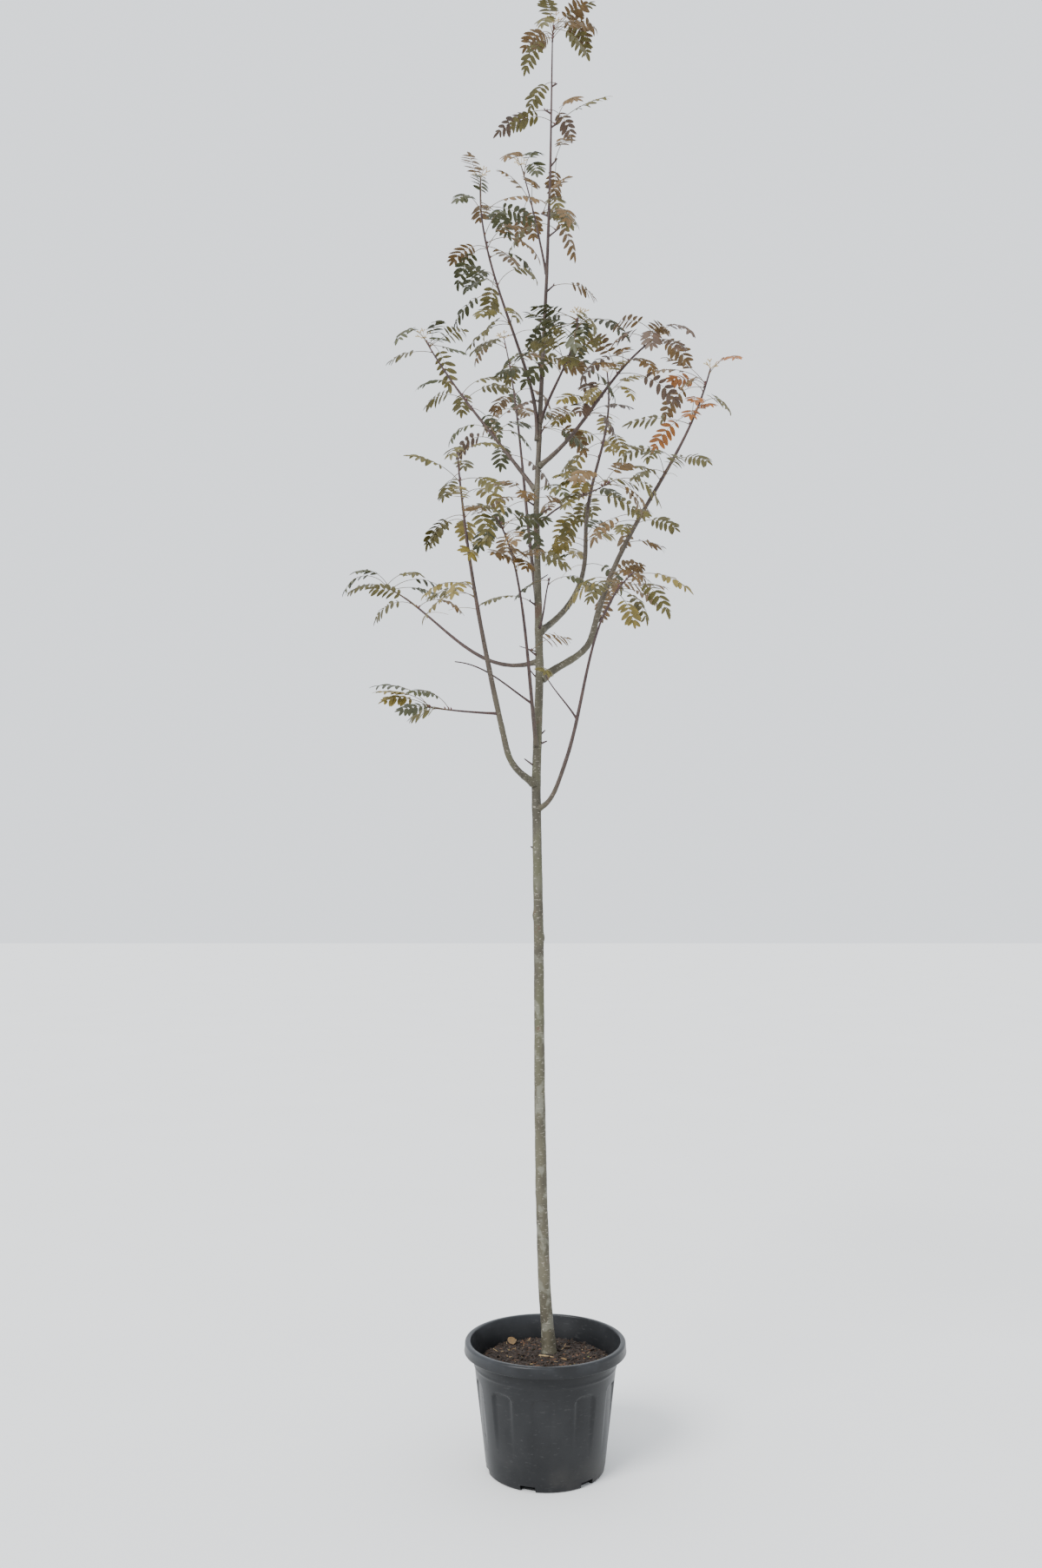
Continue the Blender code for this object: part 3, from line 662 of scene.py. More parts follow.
# %% Wood with relief
# Knobs on the trunk: height, heading, size
KNOBS = ((1.439, 185, 0.0035), (1.379, 5, 0.0030), (1.514, -80, 0.0022), (1.608, -95, 0.0022),
         (0.930, -85, 0.0026), (0.700, 140, 0.0020), (1.150, 60, 0.0024), (1.690, 110, 0.0030))
KNOB_LENGTH = 0.011
TRUNK_RING_STEP = 0.0045
TRUNK_SIDES = 28
BOUGH_RING_STEP = 0.005
BOUGH_SIDES = 14
COLLAR_SWELL = 0.45
COLLAR_LENGTH = 0.016
OLD_WOOD = 0.0095
YOUNG_WOOD = 0.0042
SLOW_SCALE = 22
SLOW_SHARE = 0.055
FINE_SCALE = 300
FINE_SCALE_UP = 110
FINE_SHARE = 0.030
FORK_SWELL = 0.10
FORK_SWELL_LENGTH = 0.014


def relief(points, centres, radii):
    """Moves each ring's points out or in, by slow unevenness and by fine roughness."""
    moved = points.copy()
    for k, (point, centre, radius) in enumerate(zip(points, centres, radii)):
        out = (point - centre) / radius
        place = Vector(point)
        slow = noise.noise(place * SLOW_SCALE) * SLOW_SHARE
        squeezed = Vector((place.x * FINE_SCALE, place.y * FINE_SCALE, place.z * FINE_SCALE_UP))
        fine = noise.noise(squeezed) * FINE_SHARE
        moved[k] = centre + out * radius * (1 + slow + fine)
    return moved


def limb(gather, youths, points, radii, sides, knobs=()):
    vertices, faces = tube_arrays(points, radii, sides)
    centres = np.repeat(points, sides, axis=0)
    around = np.repeat(radii, sides)
    moved = relief(vertices, centres, around)
    for height, heading, size in knobs:
        side = outward(heading)
        facing = np.clip(((vertices - centres) / around[:, None]) @ side, 0, 1) ** 3
        near = np.exp(-((vertices[:, 2] - height) / KNOB_LENGTH) ** 2)
        moved += (facing * near * size)[:, None] * side
    gather.add(moved, faces)
    youths.append(np.clip((OLD_WOOD - around) / (OLD_WOOD - YOUNG_WOOD), 0, 1))


def set_youth(piece, youths):
    layer = piece.data.attributes.new("youth", "FLOAT", "POINT")
    layer.data.foreach_set("value", np.concatenate(youths))


trunk_heights = np.arange(TRUNK_FOOT, TRUNK_TIP, TRUNK_RING_STEP)
trunk_points = np.array([trunk_axis(h) for h in trunk_heights])
trunk_radii = np.array([trunk_radius(h) for h in trunk_heights])
for shoot in SHOOTS:
    if shoot.parent == "trunk":
        near = np.exp(-((trunk_heights - shoot.foot) / FORK_SWELL_LENGTH) ** 2)
        trunk_radii += FORK_SWELL * shoot.girth[0] * near
gather, youths = Gather(), []
limb(gather, youths, trunk_points, trunk_radii, TRUNK_SIDES, KNOBS)
trunk_piece = gather.piece("trunk_bark", bark_finish.material, "wood")
set_youth(trunk_piece, youths)
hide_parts("trunk")

# %% Boughs and twigs
UNEVEN_SCALE = 60
UNEVEN_SHARE = 0.06
SUNK_SHARE = 0.6
TWIG_SUNK = 0.003
TWIG_SIDES = 10
TIP_RUN = 0.3
TIP_TAPER = 0.5


def wood_run(shoot, start, end, step, sunk):
    """The points and radii of a shoot between two shares of its length."""
    line = lines[shoot.name]
    length = distances(line)[-1]
    count = max(4, int((end - start) * length / step))
    wanted = np.linspace(start, end, count) * length
    points = at_distances(line, wanted)
    radii = np.interp(wanted / length, (0, 1), shoot.girth)
    if start == 0:
        radii *= 1 + COLLAR_SWELL * np.exp(-wanted / COLLAR_LENGTH)
        ahead = (points[1] - points[0]) / np.linalg.norm(points[1] - points[0])
        points = np.vstack([points[0] - ahead * sunk, points])
        radii = np.r_[radii[0], radii]
    if shoot.parent == "trunk":
        swelling = np.array([noise.noise(Vector(p) * UNEVEN_SCALE) for p in points])
        radii = radii * (1 + UNEVEN_SHARE * swelling)
    return points, radii


bough_gather, bough_youths = Gather(), []
twig_gather, twig_youths = Gather(), []
for shoot in shoots:
    sunk = SUNK_SHARE * (trunk_radius(shoot.foot) if shoot.parent == "trunk" else TWIG_SUNK)
    if shoot.enters > 0:
        points, radii = wood_run(shoot, 0.0, shoot.enters, BOUGH_RING_STEP, sunk)
        limb(bough_gather, bough_youths, points, radii, BOUGH_SIDES)
    points, radii = wood_run(shoot, shoot.enters, 1.0, BOUGH_RING_STEP, min(sunk, TWIG_SUNK))
    points = np.vstack([points, points[-1] + (points[-1] - points[-2]) * TIP_RUN])
    radii = np.r_[radii, radii[-1] * TIP_TAPER]
    limb(twig_gather, twig_youths, points, radii, TWIG_SIDES)

# %% [markdown]
# ## Stubs and spurs
# Pruning leaves short stubs on the trunk, and fallen leaves leave knuckled spurs. They are short
# tapering tubes with a blunt end, set where the photograph shows them.

# %% Stubs
# Stubs on the trunk: height, heading, length, slope, radius
STUBS = ((1.845, -165, 0.034, 35, 0.0022), (1.905, -20, 0.022, 20, 0.0024), (1.930, 10, 0.020, 45, 0.0020),
         (2.085, 190, 0.040, 50, 0.0018), (2.160, 160, 0.055, 20, 0.0015), (2.360, 20, 0.030, 35, 0.0016),
         (2.440, 200, 0.026, 30, 0.0016), (2.660, 60, 0.022, 40, 0.0015), (3.020, 30, 0.018, 35, 0.0013),
         (3.480, 200, 0.014, 35, 0.0012), (1.620, 150, 0.014, 25, 0.0026))
STUB_RINGS = 7
STUB_SIDES = 8
for height, heading, length, slope, girth in STUBS:
    foot = trunk_axis(height) + outward(heading) * trunk_radius(height) * SUNK_SHARE
    across, up = direction(slope)
    steps = np.linspace(0, length, STUB_RINGS)
    points = foot + steps[:, None] * (outward(heading) * across + np.array([0, 0, up]))
    radii = girth * (1.35 - 0.5 * steps / length)
    radii[-1] *= 0.75
    limb(twig_gather, twig_youths, points, radii, STUB_SIDES)

mass_nodes = [name for name in frame["nodes"] if name.endswith("_leaves")]
bough_nodes = [name for name in frame["nodes"] if name.endswith("_bough")]
bough_piece = bough_gather.piece("bough_bark", bark_finish.material, "wood")
set_youth(bough_piece, bough_youths)
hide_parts(*bough_nodes)
twig_piece = twig_gather.piece("twigs", bark_finish.material, "wood")
set_youth(twig_piece, twig_youths)
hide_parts(*mass_nodes)

# %% [markdown]
# ## One leaflet
# A rowan leaflet is a small lance with a toothed edge, folded a little along its midrib and bent down
# to its tip. It is worked out once as a flat grid of three rows, and each copy is folded and bent by
# its own amounts, which looks far more alive than one shape repeated.

# %% Leaflet
EDGE_STEPS = 12
TOOTH = 0.13
LEAFLET_WIDTH = 0.215
PAIRS = 6
TERMINAL_FROM = 0.90
TERMINAL_STRETCH = 1.55
FIRST_ANGLE = 74
ANGLE_FALL = 26
LEAFLET_DROOP = 0.12
STALK_SIDES = 5
STALK_STEPS = (0, 0.06, STALK_SHARE, 0.95)
STALK_RADII = (0.0017, 0.0011, 0.0009, 0.0004)

along_blade = np.linspace(0, 1, EDGE_STEPS + 1)
half_width = np.sin(math.pi * along_blade ** 0.85) ** 0.55
half_width[0] = half_width[-1] = 0.0
half_width[1:-1:2] *= 1 - TOOTH
left = [EDGE_STEPS + 1 + k for k in range(EDGE_STEPS + 1)]
right = [2 * (EDGE_STEPS + 1) + k for k in range(EDGE_STEPS + 1)]
leaflet_faces = []
for k in range(EDGE_STEPS):
    if k == 0:
        leaflet_faces += [(0, 1, left[1]), (0, right[1], 1)]
    elif k == EDGE_STEPS - 1:
        leaflet_faces += [(k, k + 1, left[k]), (k, right[k], k + 1)]
    else:
        leaflet_faces += [(k, k + 1, left[k + 1], left[k]), (k, right[k], right[k + 1], k + 1)]
used = sorted({i for face in leaflet_faces for i in face})
renumber = {old: new for new, old in enumerate(used)}
leaflet_faces = [tuple(renumber[i] for i in face) for face in leaflet_faces]


def leaflet_points(foot, ahead, face, length, width, fold, bend, twist):
    """The leaflet's points, from its foot along its direction, folded up and bent down."""
    side = np.cross(face, ahead)
    side /= np.linalg.norm(side)
    turn = math.radians(twist)
    side, up = math.cos(turn) * side + math.sin(turn) * face, math.cos(turn) * face - math.sin(turn) * side
    run = along_blade * length
    middle = foot + run[:, None] * ahead - (bend * length * along_blade ** 2)[:, None] * up
    edge = half_width * width
    rise = (edge * fold)[:, None] * up
    points = np.vstack([middle, middle + edge[:, None] * side + rise, middle - edge[:, None] * side + rise])
    return points[used]


def add_leaf(leaf, blades, stalks, rng):
    """A rib with its pairs of leaflets and the one at its end, inside the solid leaf's outline."""
    shares, rib, along, across, face = leaf_frame(leaf)
    radii = np.interp(shares, STALK_STEPS, STALK_RADII)
    points, faces = tube_arrays(rib[:-1], radii[:-1], STALK_SIDES)
    stalks.add(points, faces)

    def at(share):
        return [np.array([np.interp(share, shares, row[:, axis]) for axis in range(3)])
                for row in (rib, along, across, face)]

    for k in range(PAIRS):
        share = STALK_SHARE + 0.03 + (TERMINAL_FROM - STALK_SHARE - 0.06) * k / (PAIRS - 1)
        for side in (-1, 1):
            place, ahead, aside, out = at(share + rng.uniform(-0.008, 0.008))
            angle = math.radians(FIRST_ANGLE - ANGLE_FALL * k / (PAIRS - 1) + rng.uniform(-7, 7))
            length = float(blade_half_width(share + 0.05)) / math.sin(angle) * rng.uniform(0.88, 1.04)
            heading = ahead * math.cos(angle) + aside * side * math.sin(angle) - out * LEAFLET_DROOP
            heading /= np.linalg.norm(heading)
            blades.add(leaflet_points(
                place, heading, out, length, length * LEAFLET_WIDTH * rng.uniform(0.9, 1.1),
                rng.uniform(0.05, 0.4), rng.uniform(0.0, 0.28), rng.uniform(-22, 22),
            ), leaflet_faces)
    place, ahead, aside, out = at(TERMINAL_FROM)
    length = leaf.length * (1 - TERMINAL_FROM) * TERMINAL_STRETCH
    blades.add(leaflet_points(place, ahead, out, length, length * LEAFLET_WIDTH,
                              rng.uniform(0.1, 0.5), rng.uniform(0.0, 0.25), 0), leaflet_faces)


print(len(leaflet_faces), "faces in a leaflet")

# %% [markdown]
# ## All the leaves
# The solid crown has one thin blade for each leaf. The dressed crown grows the same leaves leaflet
# by leaflet, and then tries more in every flush, keeping one only where it clears what has grown
# already and stays in its own mass's space. Each flush gets its tints from its seed.

# %% Crown
ATTEMPTS = 60
MORE_A_FLUSH = 4
SPACE_MARGIN = 0.012

wood = wood_samples(shoots, lines)
placed = np.zeros((0, 3))
blades = {name: Gather() for name in LEAF_TINTS}
stalks = Gather()
grown = []
for shoot in shoots:
    for flush in shoot.flushes:
        tint = random.Random(flush.seed).choices(list(LEAF_TINTS), TINT_SHARES)[0]
        for leaf in flush_leaves(flush, lines[shoot.name]):
            samples = leaf_samples(leaf)
            if touches(samples, wood, placed):
                continue
            placed = np.vstack([placed, samples])
            grown.append((leaf, tint))
for shoot in shoots:
    low, high = (np.array(corner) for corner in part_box(shoot.name + "_leaves"))
    for flush in shoot.flushes:
        tint = random.Random(flush.seed + 1).choices(list(LEAF_TINTS), TINT_SHARES)[0]
        kept = 0
        for attempt in range(ATTEMPTS):
            more = Flush(flush.start, flush.end, 1, 31 * flush.seed + attempt)
            trial = flush_leaves(more, lines[shoot.name])[0]
            samples = leaf_samples(trial)
            inside = (samples > low - SPACE_MARGIN).all() and (samples < high + SPACE_MARGIN).all()
            if inside and not touches(samples, wood, placed):
                placed = np.vstack([placed, samples])
                grown.append((trial, tint))
                kept += 1
                if kept == MORE_A_FLUSH:
                    break
for number, (leaf, tint) in enumerate(grown):
    add_leaf(leaf, blades[tint], stalks, random.Random(number))
for name, gather in blades.items():
    gather.piece("leaves_" + name, leaf_finishes[name], "leaves")
stalks.piece("leaf_stalks", stalk_finish, "leaves")
print(len(grown), "leaves")

# %% [markdown]
# ## Bare stalks, buds and flower stalks
# Leaves that have dropped their leaflets leave thin arching stalks, each leaf has a pointed bud at its
# foot, and last summer's flowers leave small pale branching heads at the tips.

# %% Bare stalks and buds
# Bare stalks: the shoot, the share of its length, a seed
BARE_STALKS = (
    ("left_low", 0.55, 4), ("right_mid", 0.30, 9), ("left_mid", 0.70, 12), ("right_high", 0.35, 20),
    ("second_leader", 0.40, 33), ("left_high", 0.30, 41), ("rear", 0.62, 58), ("right_top", 0.40, 63),
    ("front_top", 0.50, 71), ("right_mid", 0.66, 83), ("left_low", 0.80, 95), ("front", 0.70, 99),
)
BARE_POINTS = 9
BUD_LENGTH = 0.009
BUD_RADII = [0.0008, 0.0020, 0.0022, 0.0013, 0.0002]
dry = Gather()
for name, share, seed in BARE_STALKS:
    leaf = flush_leaves(Flush(share, share, 1, seed), lines[name])[0]
    rib = leaf_frame(leaf)[1]
    points, faces = tube_arrays(rib[:BARE_POINTS], np.linspace(0.0010, 0.0005, BARE_POINTS), STALK_SIDES)
    dry.add(points, faces)

buds = Gather()
for leaf, _ in grown:
    out = outward(leaf.heading) * 0.45 + np.array([0, 0, 0.9])
    out /= np.linalg.norm(out)
    points = leaf.foot + out * 0.001 + np.linspace(0, BUD_LENGTH, len(BUD_RADII))[:, None] * out
    points, faces = tube_arrays(points, BUD_RADII, 6)
    buds.add(points, faces)
buds.piece("buds", bud_finish, "wood")

# %% Flower stalks
HEADS = ("trunk_tip", "second_leader", "right_mid", "left_high", "right_top", "front_top", "right_high",
         "leader_side", "rear")
HEAD_SIZE = 0.022
HEAD_SIDES = 4
HEAD_BRANCHES = 6
HEAD_FORKS = 3
BRANCH_RADII = [0.0009, 0.0007, 0.0006]
FORK_RADII = [0.0008, 0.0010, 0.0019]
heads = Gather()
for number, name in enumerate(HEADS):
    rng = random.Random(number)
    line = lines[name]
    foot = line[-1]
    lean = (line[-1] - line[-4]) / np.linalg.norm(line[-1] - line[-4])
    for branch in range(HEAD_BRANCHES):
        spread = outward(branch * 360 / HEAD_BRANCHES + rng.uniform(-20, 20)) * rng.uniform(0.5, 1.0)
        way = lean * 0.8 + spread
        way /= np.linalg.norm(way)
        mid = foot + way * HEAD_SIZE * rng.uniform(0.6, 1.0)
        points, faces = tube_arrays([foot, (foot + mid) / 2 + lean * 0.001, mid], BRANCH_RADII, HEAD_SIDES)
        heads.add(points, faces)
        for fork in range(HEAD_FORKS):
            tip = mid + (way + outward(fork * 360 / HEAD_FORKS + branch * 50) * 0.8) * HEAD_SIZE * 0.35
            points, faces = tube_arrays([mid, (mid + tip) / 2, tip], FORK_RADII, HEAD_SIDES)
            heads.add(points, faces)
heads.piece("flower_heads", head_finish, "leaves")
dry.piece("dry_stalks", dry_stalk_finish, "leaves")

# %% [markdown]
# ## The pot
# A round pot can be drawn up from a disc as a potter would: the disc is extruded ring by ring up the
# outside, over the lip and down inside. Doing it with operators keeps the rings even, and the flutes
# are pressed in afterwards by moving the wall's vertices.

# %% Pot rings
POT_SIDES = 240
POT_HEIGHT = 0.326
FOOT_RADIUS = 0.150
WALL_FOOT_RADIUS = 0.155
WALL_TOP_RADIUS = 0.191
LIP_RADIUS = 0.214
LIP_HEIGHT = 0.028
MOUTH_RADIUS = 0.1975
WALL = 0.006
RIM_WALL = 0.003
FLOOR = 0.004
COLLAR_FOOT = 0.250
FLUTES = 10
FLUTE_CENTRE = 267.0
FLUTE_DEPTH = 0.0038
FLUTE_TOP = 0.236
FLUTE_SHOULDER = 0.229
FLUTE_FOOT = 0.070
NOTCHES = 6
FIRST_NOTCH = 252.0
NOTCH_WIDTH = 0.040
NOTCH_HEIGHT = 0.014
NOTCH_REACH = 0.030
BARK_EDGE = 0.264
BARK_SHOULDER = 0.277
SEAT_RADIUS = 0.048
FLUTE_WIDTH = 9.0
FLUTE_PRESS = 1.35 * FLUTE_DEPTH
COLLAR_LINE = 0.0016
COLLAR_LINE_HEIGHT = 0.266


def wall_radius(height):
    share = height / (POT_HEIGHT - LIP_HEIGHT)
    return WALL_FOOT_RADIUS + (WALL_TOP_RADIUS - WALL_FOOT_RADIUS) * share


def inner_radius(height):
    """The wall thins from the collar's foot up to the lip."""
    share = (height - COLLAR_FOOT) / (POT_HEIGHT - LIP_HEIGHT - COLLAR_FOOT)
    return wall_radius(height) - WALL + (WALL - RIM_WALL) * max(share, 0.0)


def drawn_up(name, rings, sides):
    """Starts from a disc and extrudes it through the rings, given as (radius, height)."""
    bpy.ops.object.select_all(action="DESELECT")
    radius, height = rings[0]
    place = (0, 0, height)
    bpy.ops.mesh.primitive_circle_add(vertices=sides, radius=radius, fill_type="NGON", location=place)
    obj = bpy.context.object
    obj.name = name
    bpy.ops.object.mode_set(mode="EDIT")
    for next_radius, next_height in rings[1:]:
        bpy.ops.mesh.extrude_region_move(TRANSFORM_OT_translate={"value": (0, 0, next_height - height)})
        share = next_radius / radius
        bpy.ops.transform.resize(value=(share, share, 1), center_override=(0, 0, next_height))
        radius, height = next_radius, next_height
    bpy.ops.mesh.select_all(action="SELECT")
    bpy.ops.mesh.normals_make_consistent(inside=False)
    bpy.ops.object.mode_set(mode="OBJECT")
    bpy.ops.object.transform_apply(location=True, rotation=True, scale=True)
    return obj


def arc(centre, size, start, end, steps):
    """Ring positions along a rounded corner, from one angle to another."""
    turns = [math.radians(start + (end - start) * k / steps) for k in range(steps + 1)]
    return [(centre[0] + size[0] * math.cos(t), centre[1] + size[1] * math.sin(t)) for t in turns]


under_lip = POT_HEIGHT - LIP_HEIGHT
wall_heights = np.linspace(0.02, under_lip, 110)
pot_rings = [(FOOT_RADIUS * 0.6, 0.0), (FOOT_RADIUS - 0.002, 0.0)]
pot_rings += arc((WALL_FOOT_RADIUS - 0.006, 0.006), (0.006, 0.006), -80, 0, 6)
pot_rings += [(wall_radius(h) + COLLAR_LINE * math.exp(-((h - COLLAR_LINE_HEIGHT) / 0.003) ** 2), h)
              for h in wall_heights]
pot_rings += [(WALL_TOP_RADIUS + 0.0155, under_lip + 0.001)]
pot_rings += arc((LIP_RADIUS - 0.0020, under_lip + 0.0022), (0.0020, 0.0022), -90, 0, 4)
pot_rings += [(LIP_RADIUS - 0.0012, under_lip + 0.010)]
pot_rings += arc((LIP_RADIUS - 0.0078, POT_HEIGHT - 0.0062), (0.0062, 0.0062), 0, 90, 8)
pot_rings += arc((MOUTH_RADIUS + 0.0040, POT_HEIGHT - 0.0040), (0.0040, 0.0040), 90, 180, 5)
pot_rings += [(inner_radius(under_lip), under_lip), (inner_radius(COLLAR_FOOT), COLLAR_FOOT),
              (inner_radius(FLOOR), FLOOR)]
pot_piece = drawn_up("nursery_pot", pot_rings, POT_SIDES)

# %% Flutes and drainage notches
for vertex in pot_piece.data.vertices:
    x, y, z = vertex.co
    radius = math.hypot(x, y)
    turn = (math.degrees(math.atan2(y, x)) - FLUTE_CENTRE) % (360 / FLUTES)
    turn = min(turn, 360 / FLUTES - turn)
    if radius > wall_radius(z) - WALL / 3 and FLUTE_FOOT < z < FLUTE_TOP + 0.006:
        round_top = FLUTE_TOP - 0.010 * (turn / FLUTE_WIDTH) ** 4
        fade = min(1.0, (z - FLUTE_FOOT) / (FLUTE_SHOULDER - FLUTE_FOOT))
        edge = 1 / (1 + math.exp((turn - FLUTE_WIDTH) / 0.2))
        top = 1 / (1 + math.exp((z - round_top) / 0.0012))
        share = 1 - FLUTE_PRESS * fade * edge * top / radius
        vertex.co.x *= share
        vertex.co.y *= share

for k in range(NOTCHES):
    turn = math.radians(FIRST_NOTCH + k * 360 / NOTCHES)
    bpy.ops.object.select_all(action="DESELECT")
    bpy.ops.mesh.primitive_cube_add(
        size=1.0,
        location=(WALL_FOOT_RADIUS * math.cos(turn), WALL_FOOT_RADIUS * math.sin(turn), 0.0),
        rotation=(0.0, 0.0, turn),
        scale=(NOTCH_REACH, NOTCH_WIDTH, 2 * NOTCH_HEIGHT),
    )
    cutter = bpy.context.object
    bpy.ops.object.select_all(action="DESELECT")
    pot_piece.select_set(True)
    bpy.context.view_layer.objects.active = pot_piece
    notch = pot_piece.modifiers.new("notch", "BOOLEAN")
    notch.operation = "DIFFERENCE"
    notch.object = cutter
    bpy.ops.object.modifier_apply(modifier=notch.name)
    bpy.data.objects.remove(cutter, do_unlink=True)
pot_piece.data.materials.clear()
pot_piece.data.materials.append(pot_finish.material)
pot_piece.data.shade_smooth()
pot_piece.data.set_sharp_from_angle(angle=math.radians(28))
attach(pot_piece, "root")
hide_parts("pot")
print("pot", len(pot_piece.data.polygons), "faces")

# %% [markdown]
# ## Potting bark
# The mix is coarse composted bark. A lumpy disc gives the ground colour and hollows, and a few
# thousand small shards lie over it, mostly flat, so that the edge against the pot looks loose.

# %% Ground of the mix
RINGS = 56
SECTORS = 150
TRUNK_MOUND = 0.004
TRUNK_MOUND_REACH = 0.035
SKIRT_DEPTH = 0.03
trunk_foot = trunk_axis(TRUNK_FOOT)


def ground(x, y):
    """The height of the mix: a low dome, lumps of two sizes, and a rise against the trunk."""
    radius = math.hypot(x, y)
    edge = inner_radius(BARK_EDGE)
    reaches = (0, SEAT_RADIUS, 0.75 * edge, edge)
    dome = np.interp(radius, reaches, (BARK_SEAT, BARK_SEAT, BARK_SHOULDER, BARK_EDGE))
    lumps = noise.noise(Vector((x, y, 0)) * 38) * 0.004 + noise.noise(Vector((x, y, 3)) * 130) * 0.0022
    from_trunk = math.hypot(x - trunk_foot[0], y - trunk_foot[1])
    rise = TRUNK_MOUND * math.exp(-(from_trunk / TRUNK_MOUND_REACH) ** 2)
    return float(dome) + lumps * min(1.0, (edge - radius) / 0.01 + 0.2) + rise


soil = Gather()
edge = inner_radius(BARK_EDGE) - GAP
points = [(0.0, 0.0, ground(0, 0))]
for k in range(1, RINGS + 1):
    for s in range(SECTORS):
        turn = 2 * math.pi * s / SECTORS
        x, y = edge * k / RINGS * math.cos(turn), edge * k / RINGS * math.sin(turn)
        points.append((x, y, ground(x, y)))
for s in range(SECTORS):
    turn = 2 * math.pi * s / SECTORS
    points.append((0.98 * edge * math.cos(turn), 0.98 * edge * math.sin(turn), BARK_EDGE - SKIRT_DEPTH))
faces = [(0, 1 + s, 1 + (s + 1) % SECTORS) for s in range(SECTORS)]
for k in range(RINGS):
    a, b = 1 + k * SECTORS, 1 + (k + 1) * SECTORS
    faces += [(a + s, b + s, b + (s + 1) % SECTORS, a + (s + 1) % SECTORS) for s in range(SECTORS)]
bottom = 1 + RINGS * SECTORS
faces.append(tuple(bottom + s for s in range(SECTORS))[::-1])
soil.add(points, faces)
soil_piece = soil.piece("potting_mix", soil_finish, "potting_bark")
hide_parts("potting_bark")

# %% Chips, straw and fallen bits
# Each kind's count, and its spreads of length, width and thickness
CHIPS = {
    "dark_chips": (1700, (0.006, 0.026), (0.003, 0.010), (0.0015, 0.0040)),
    "brown_chips": (620, (0.005, 0.018), (0.002, 0.007), (0.0008, 0.0024)),
    "straw_bits": (150, (0.010, 0.034), (0.0008, 0.0022), (0.0006, 0.0010)),
    "green_bits": (16, (0.008, 0.016), (0.004, 0.008), (0.0004, 0.0006)),
    "rusty_bits": (16, (0.008, 0.018), (0.003, 0.007), (0.0004, 0.0008)),
}
SHARD = np.array([(-1, -0.7, -1), (1, -1, -1), (0.8, 1, -1), (-0.9, 0.8, -1),
                  (-0.9, -0.6, 1), (0.7, -0.8, 1), (1, 0.7, 1), (-1, 0.6, 1)]) / 2
SHARD_FACES = ((3, 2, 1, 0), (4, 5, 6, 7), (0, 1, 5, 4), (1, 2, 6, 5), (2, 3, 7, 6), (3, 0, 4, 7))
rng = random.Random(5)
for name, (count, lengths, widths, depths) in CHIPS.items():
    chips = Gather()
    for _ in range(count):
        size = np.array([rng.uniform(*lengths), rng.uniform(*widths), rng.uniform(*depths)])
        reach = edge - 0.004 - size[0] / 2
        radius = reach * math.sqrt(rng.random())
        turn = rng.uniform(0, 2 * math.pi)
        x, y = radius * math.cos(turn), radius * math.sin(turn)
        if math.hypot(x - trunk_foot[0], y - trunk_foot[1]) < 0.026:
            continue
        spin, tilt, roll = rng.uniform(0, 2 * math.pi), rng.gauss(0, 0.22), rng.gauss(0, 0.35)
        shape = SHARD * size * np.array([1, rng.uniform(0.7, 1.2), 1])
        cos, sin = math.cos(roll), math.sin(roll)
        shape = shape @ np.array([(1, 0, 0), (0, cos, sin), (0, -sin, cos)])
        cos, sin = math.cos(tilt), math.sin(tilt)
        shape = shape @ np.array([(cos, 0, sin), (0, 1, 0), (-sin, 0, cos)])
        cos, sin = math.cos(spin), math.sin(spin)
        shape = shape @ np.array([(cos, sin, 0), (-sin, cos, 0), (0, 0, 1)])
        chips.add(shape + (x, y, ground(x, y) + size[2] * 0.3), SHARD_FACES)
    chips.piece(name, chip_finishes[name], "potting_bark", smooth=False)

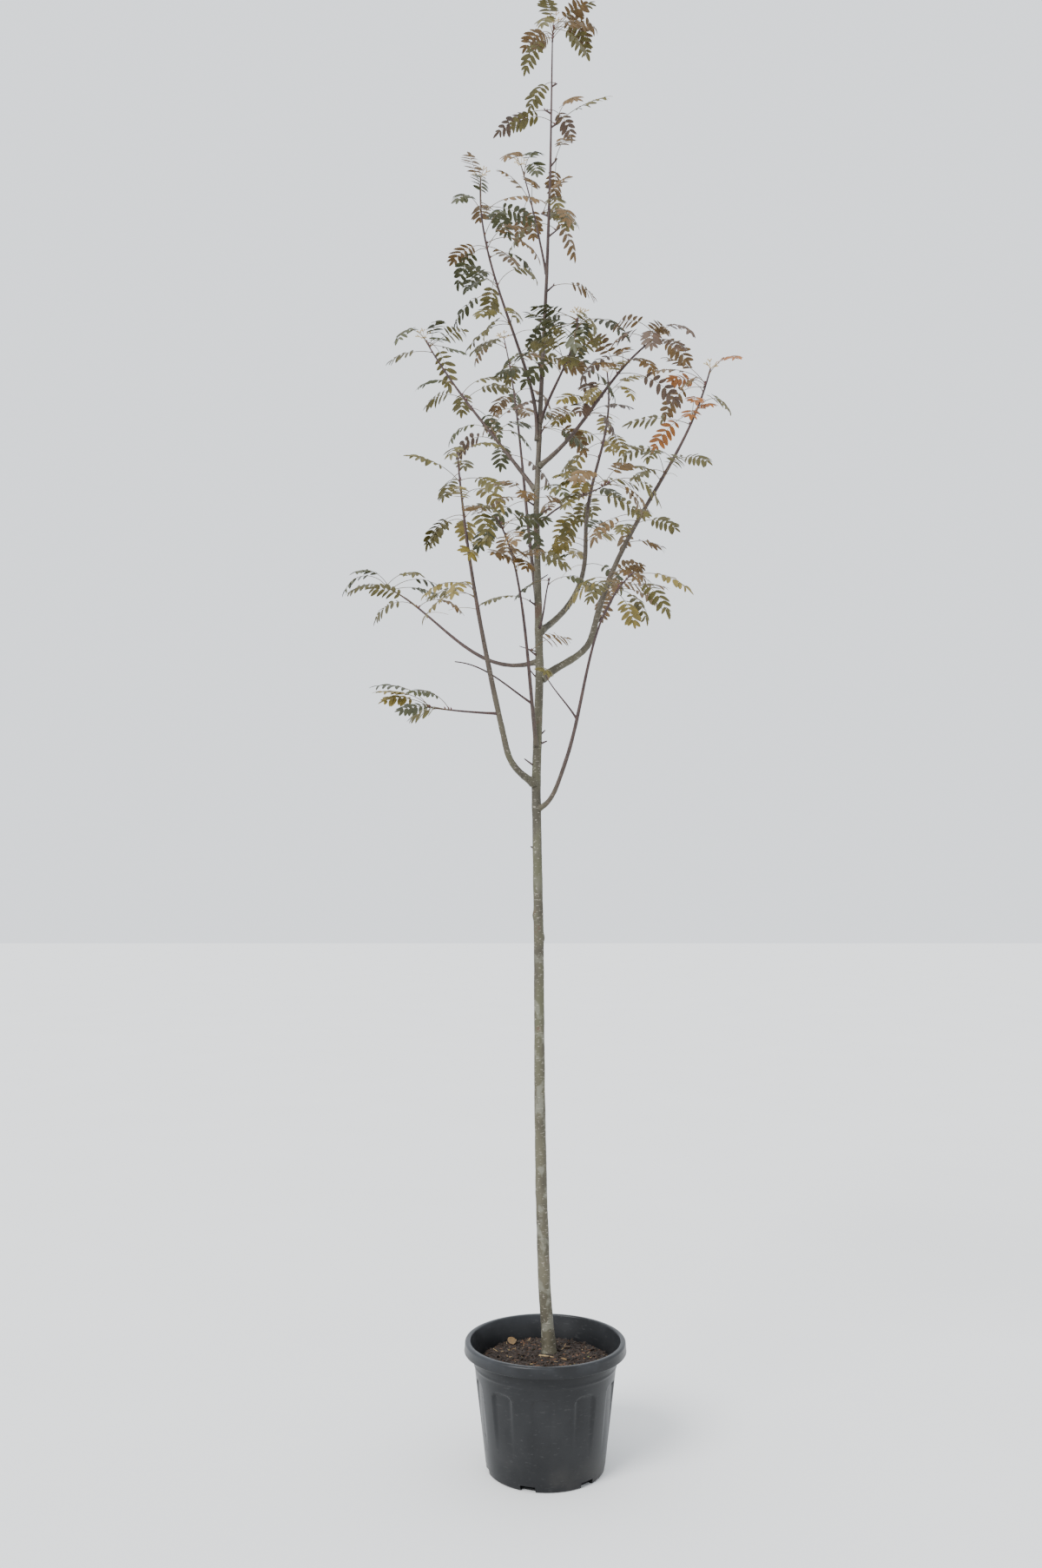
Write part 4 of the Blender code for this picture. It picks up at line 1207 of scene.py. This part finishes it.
# %% Fallen leaf and surface root
# Fallen leaflets: place, heading, length
FALLEN = ((-0.085, 0.075, 100, 0.052), (0.070, 0.060, 200, 0.022), (0.055, -0.040, 140, 0.020))
ROOT_PLACE = (0.012, 0.016, 0.2875)
ROOT_BEND = 0.034
ROOT_DIP = 0.006
ROOT_POINTS = 9
fallen = Gather()
rng = random.Random(8)
for x, y, heading, length in FALLEN:
    foot = np.array([x, y, ground(x, y) + 0.006])
    fallen.add(leaflet_points(foot, outward(heading), np.array([0, 0, 1.0]), length, length * 0.22,
                              0.3, -0.05, rng.uniform(-12, 12)), leaflet_faces)
fallen.piece("fallen_leaflets", leaf_finishes["bronze"], "leaves")
root = Gather()
turns = np.linspace(math.radians(200), math.radians(300), ROOT_POINTS)
across, away, height = ROOT_PLACE
points = np.array([
    (across + ROOT_BEND * math.cos(t), away + ROOT_BEND * math.sin(t), height) for t in turns
])
points[:, 2] -= ROOT_DIP * np.linspace(-1, 1, ROOT_POINTS) ** 2
root.add(*tube_arrays(points, np.r_[np.linspace(0.0026, 0.0018, ROOT_POINTS - 1), 0.0008], 8))
root.piece("surface_root", dry_stalk_finish, "wood")

# %% [markdown]
# ## Floor and light
# A plain pale floor and soft light from a wide sky show the shapes without hard shadows. One broad
# sun from the upper left gives the leaves and the flutes their modelling.

# %% Stage
bpy.ops.object.select_all(action="DESELECT")
bpy.ops.mesh.primitive_plane_add(size=60, location=(0, 0, -0.0005))
floor = bpy.context.object
floor.name = "floor"
floor_finish = Finish("floor", 0.9)
floor_finish.colour(floor_finish.mix(floor_finish.noise(1.5), (0.80, 0.80, 0.79), (0.84, 0.84, 0.83)))
floor.data.materials.append(floor_finish.material)

sky = bpy.data.worlds.new("soft_studio")
sky.use_nodes = True
sky.node_tree.nodes["Background"].inputs["Color"].default_value = (0.86, 0.90, 0.95, 1)
sky.node_tree.nodes["Background"].inputs["Strength"].default_value = 1.7
bpy.context.scene.world = sky

sun = bpy.data.lights.new("key", "SUN")
sun.energy = 3.4
sun.angle = math.radians(25)
key = bpy.data.objects.new("key", sun)
key.rotation_euler = (math.radians(48), math.radians(-12), math.radians(-30))
bpy.context.scene.collection.objects.link(key)
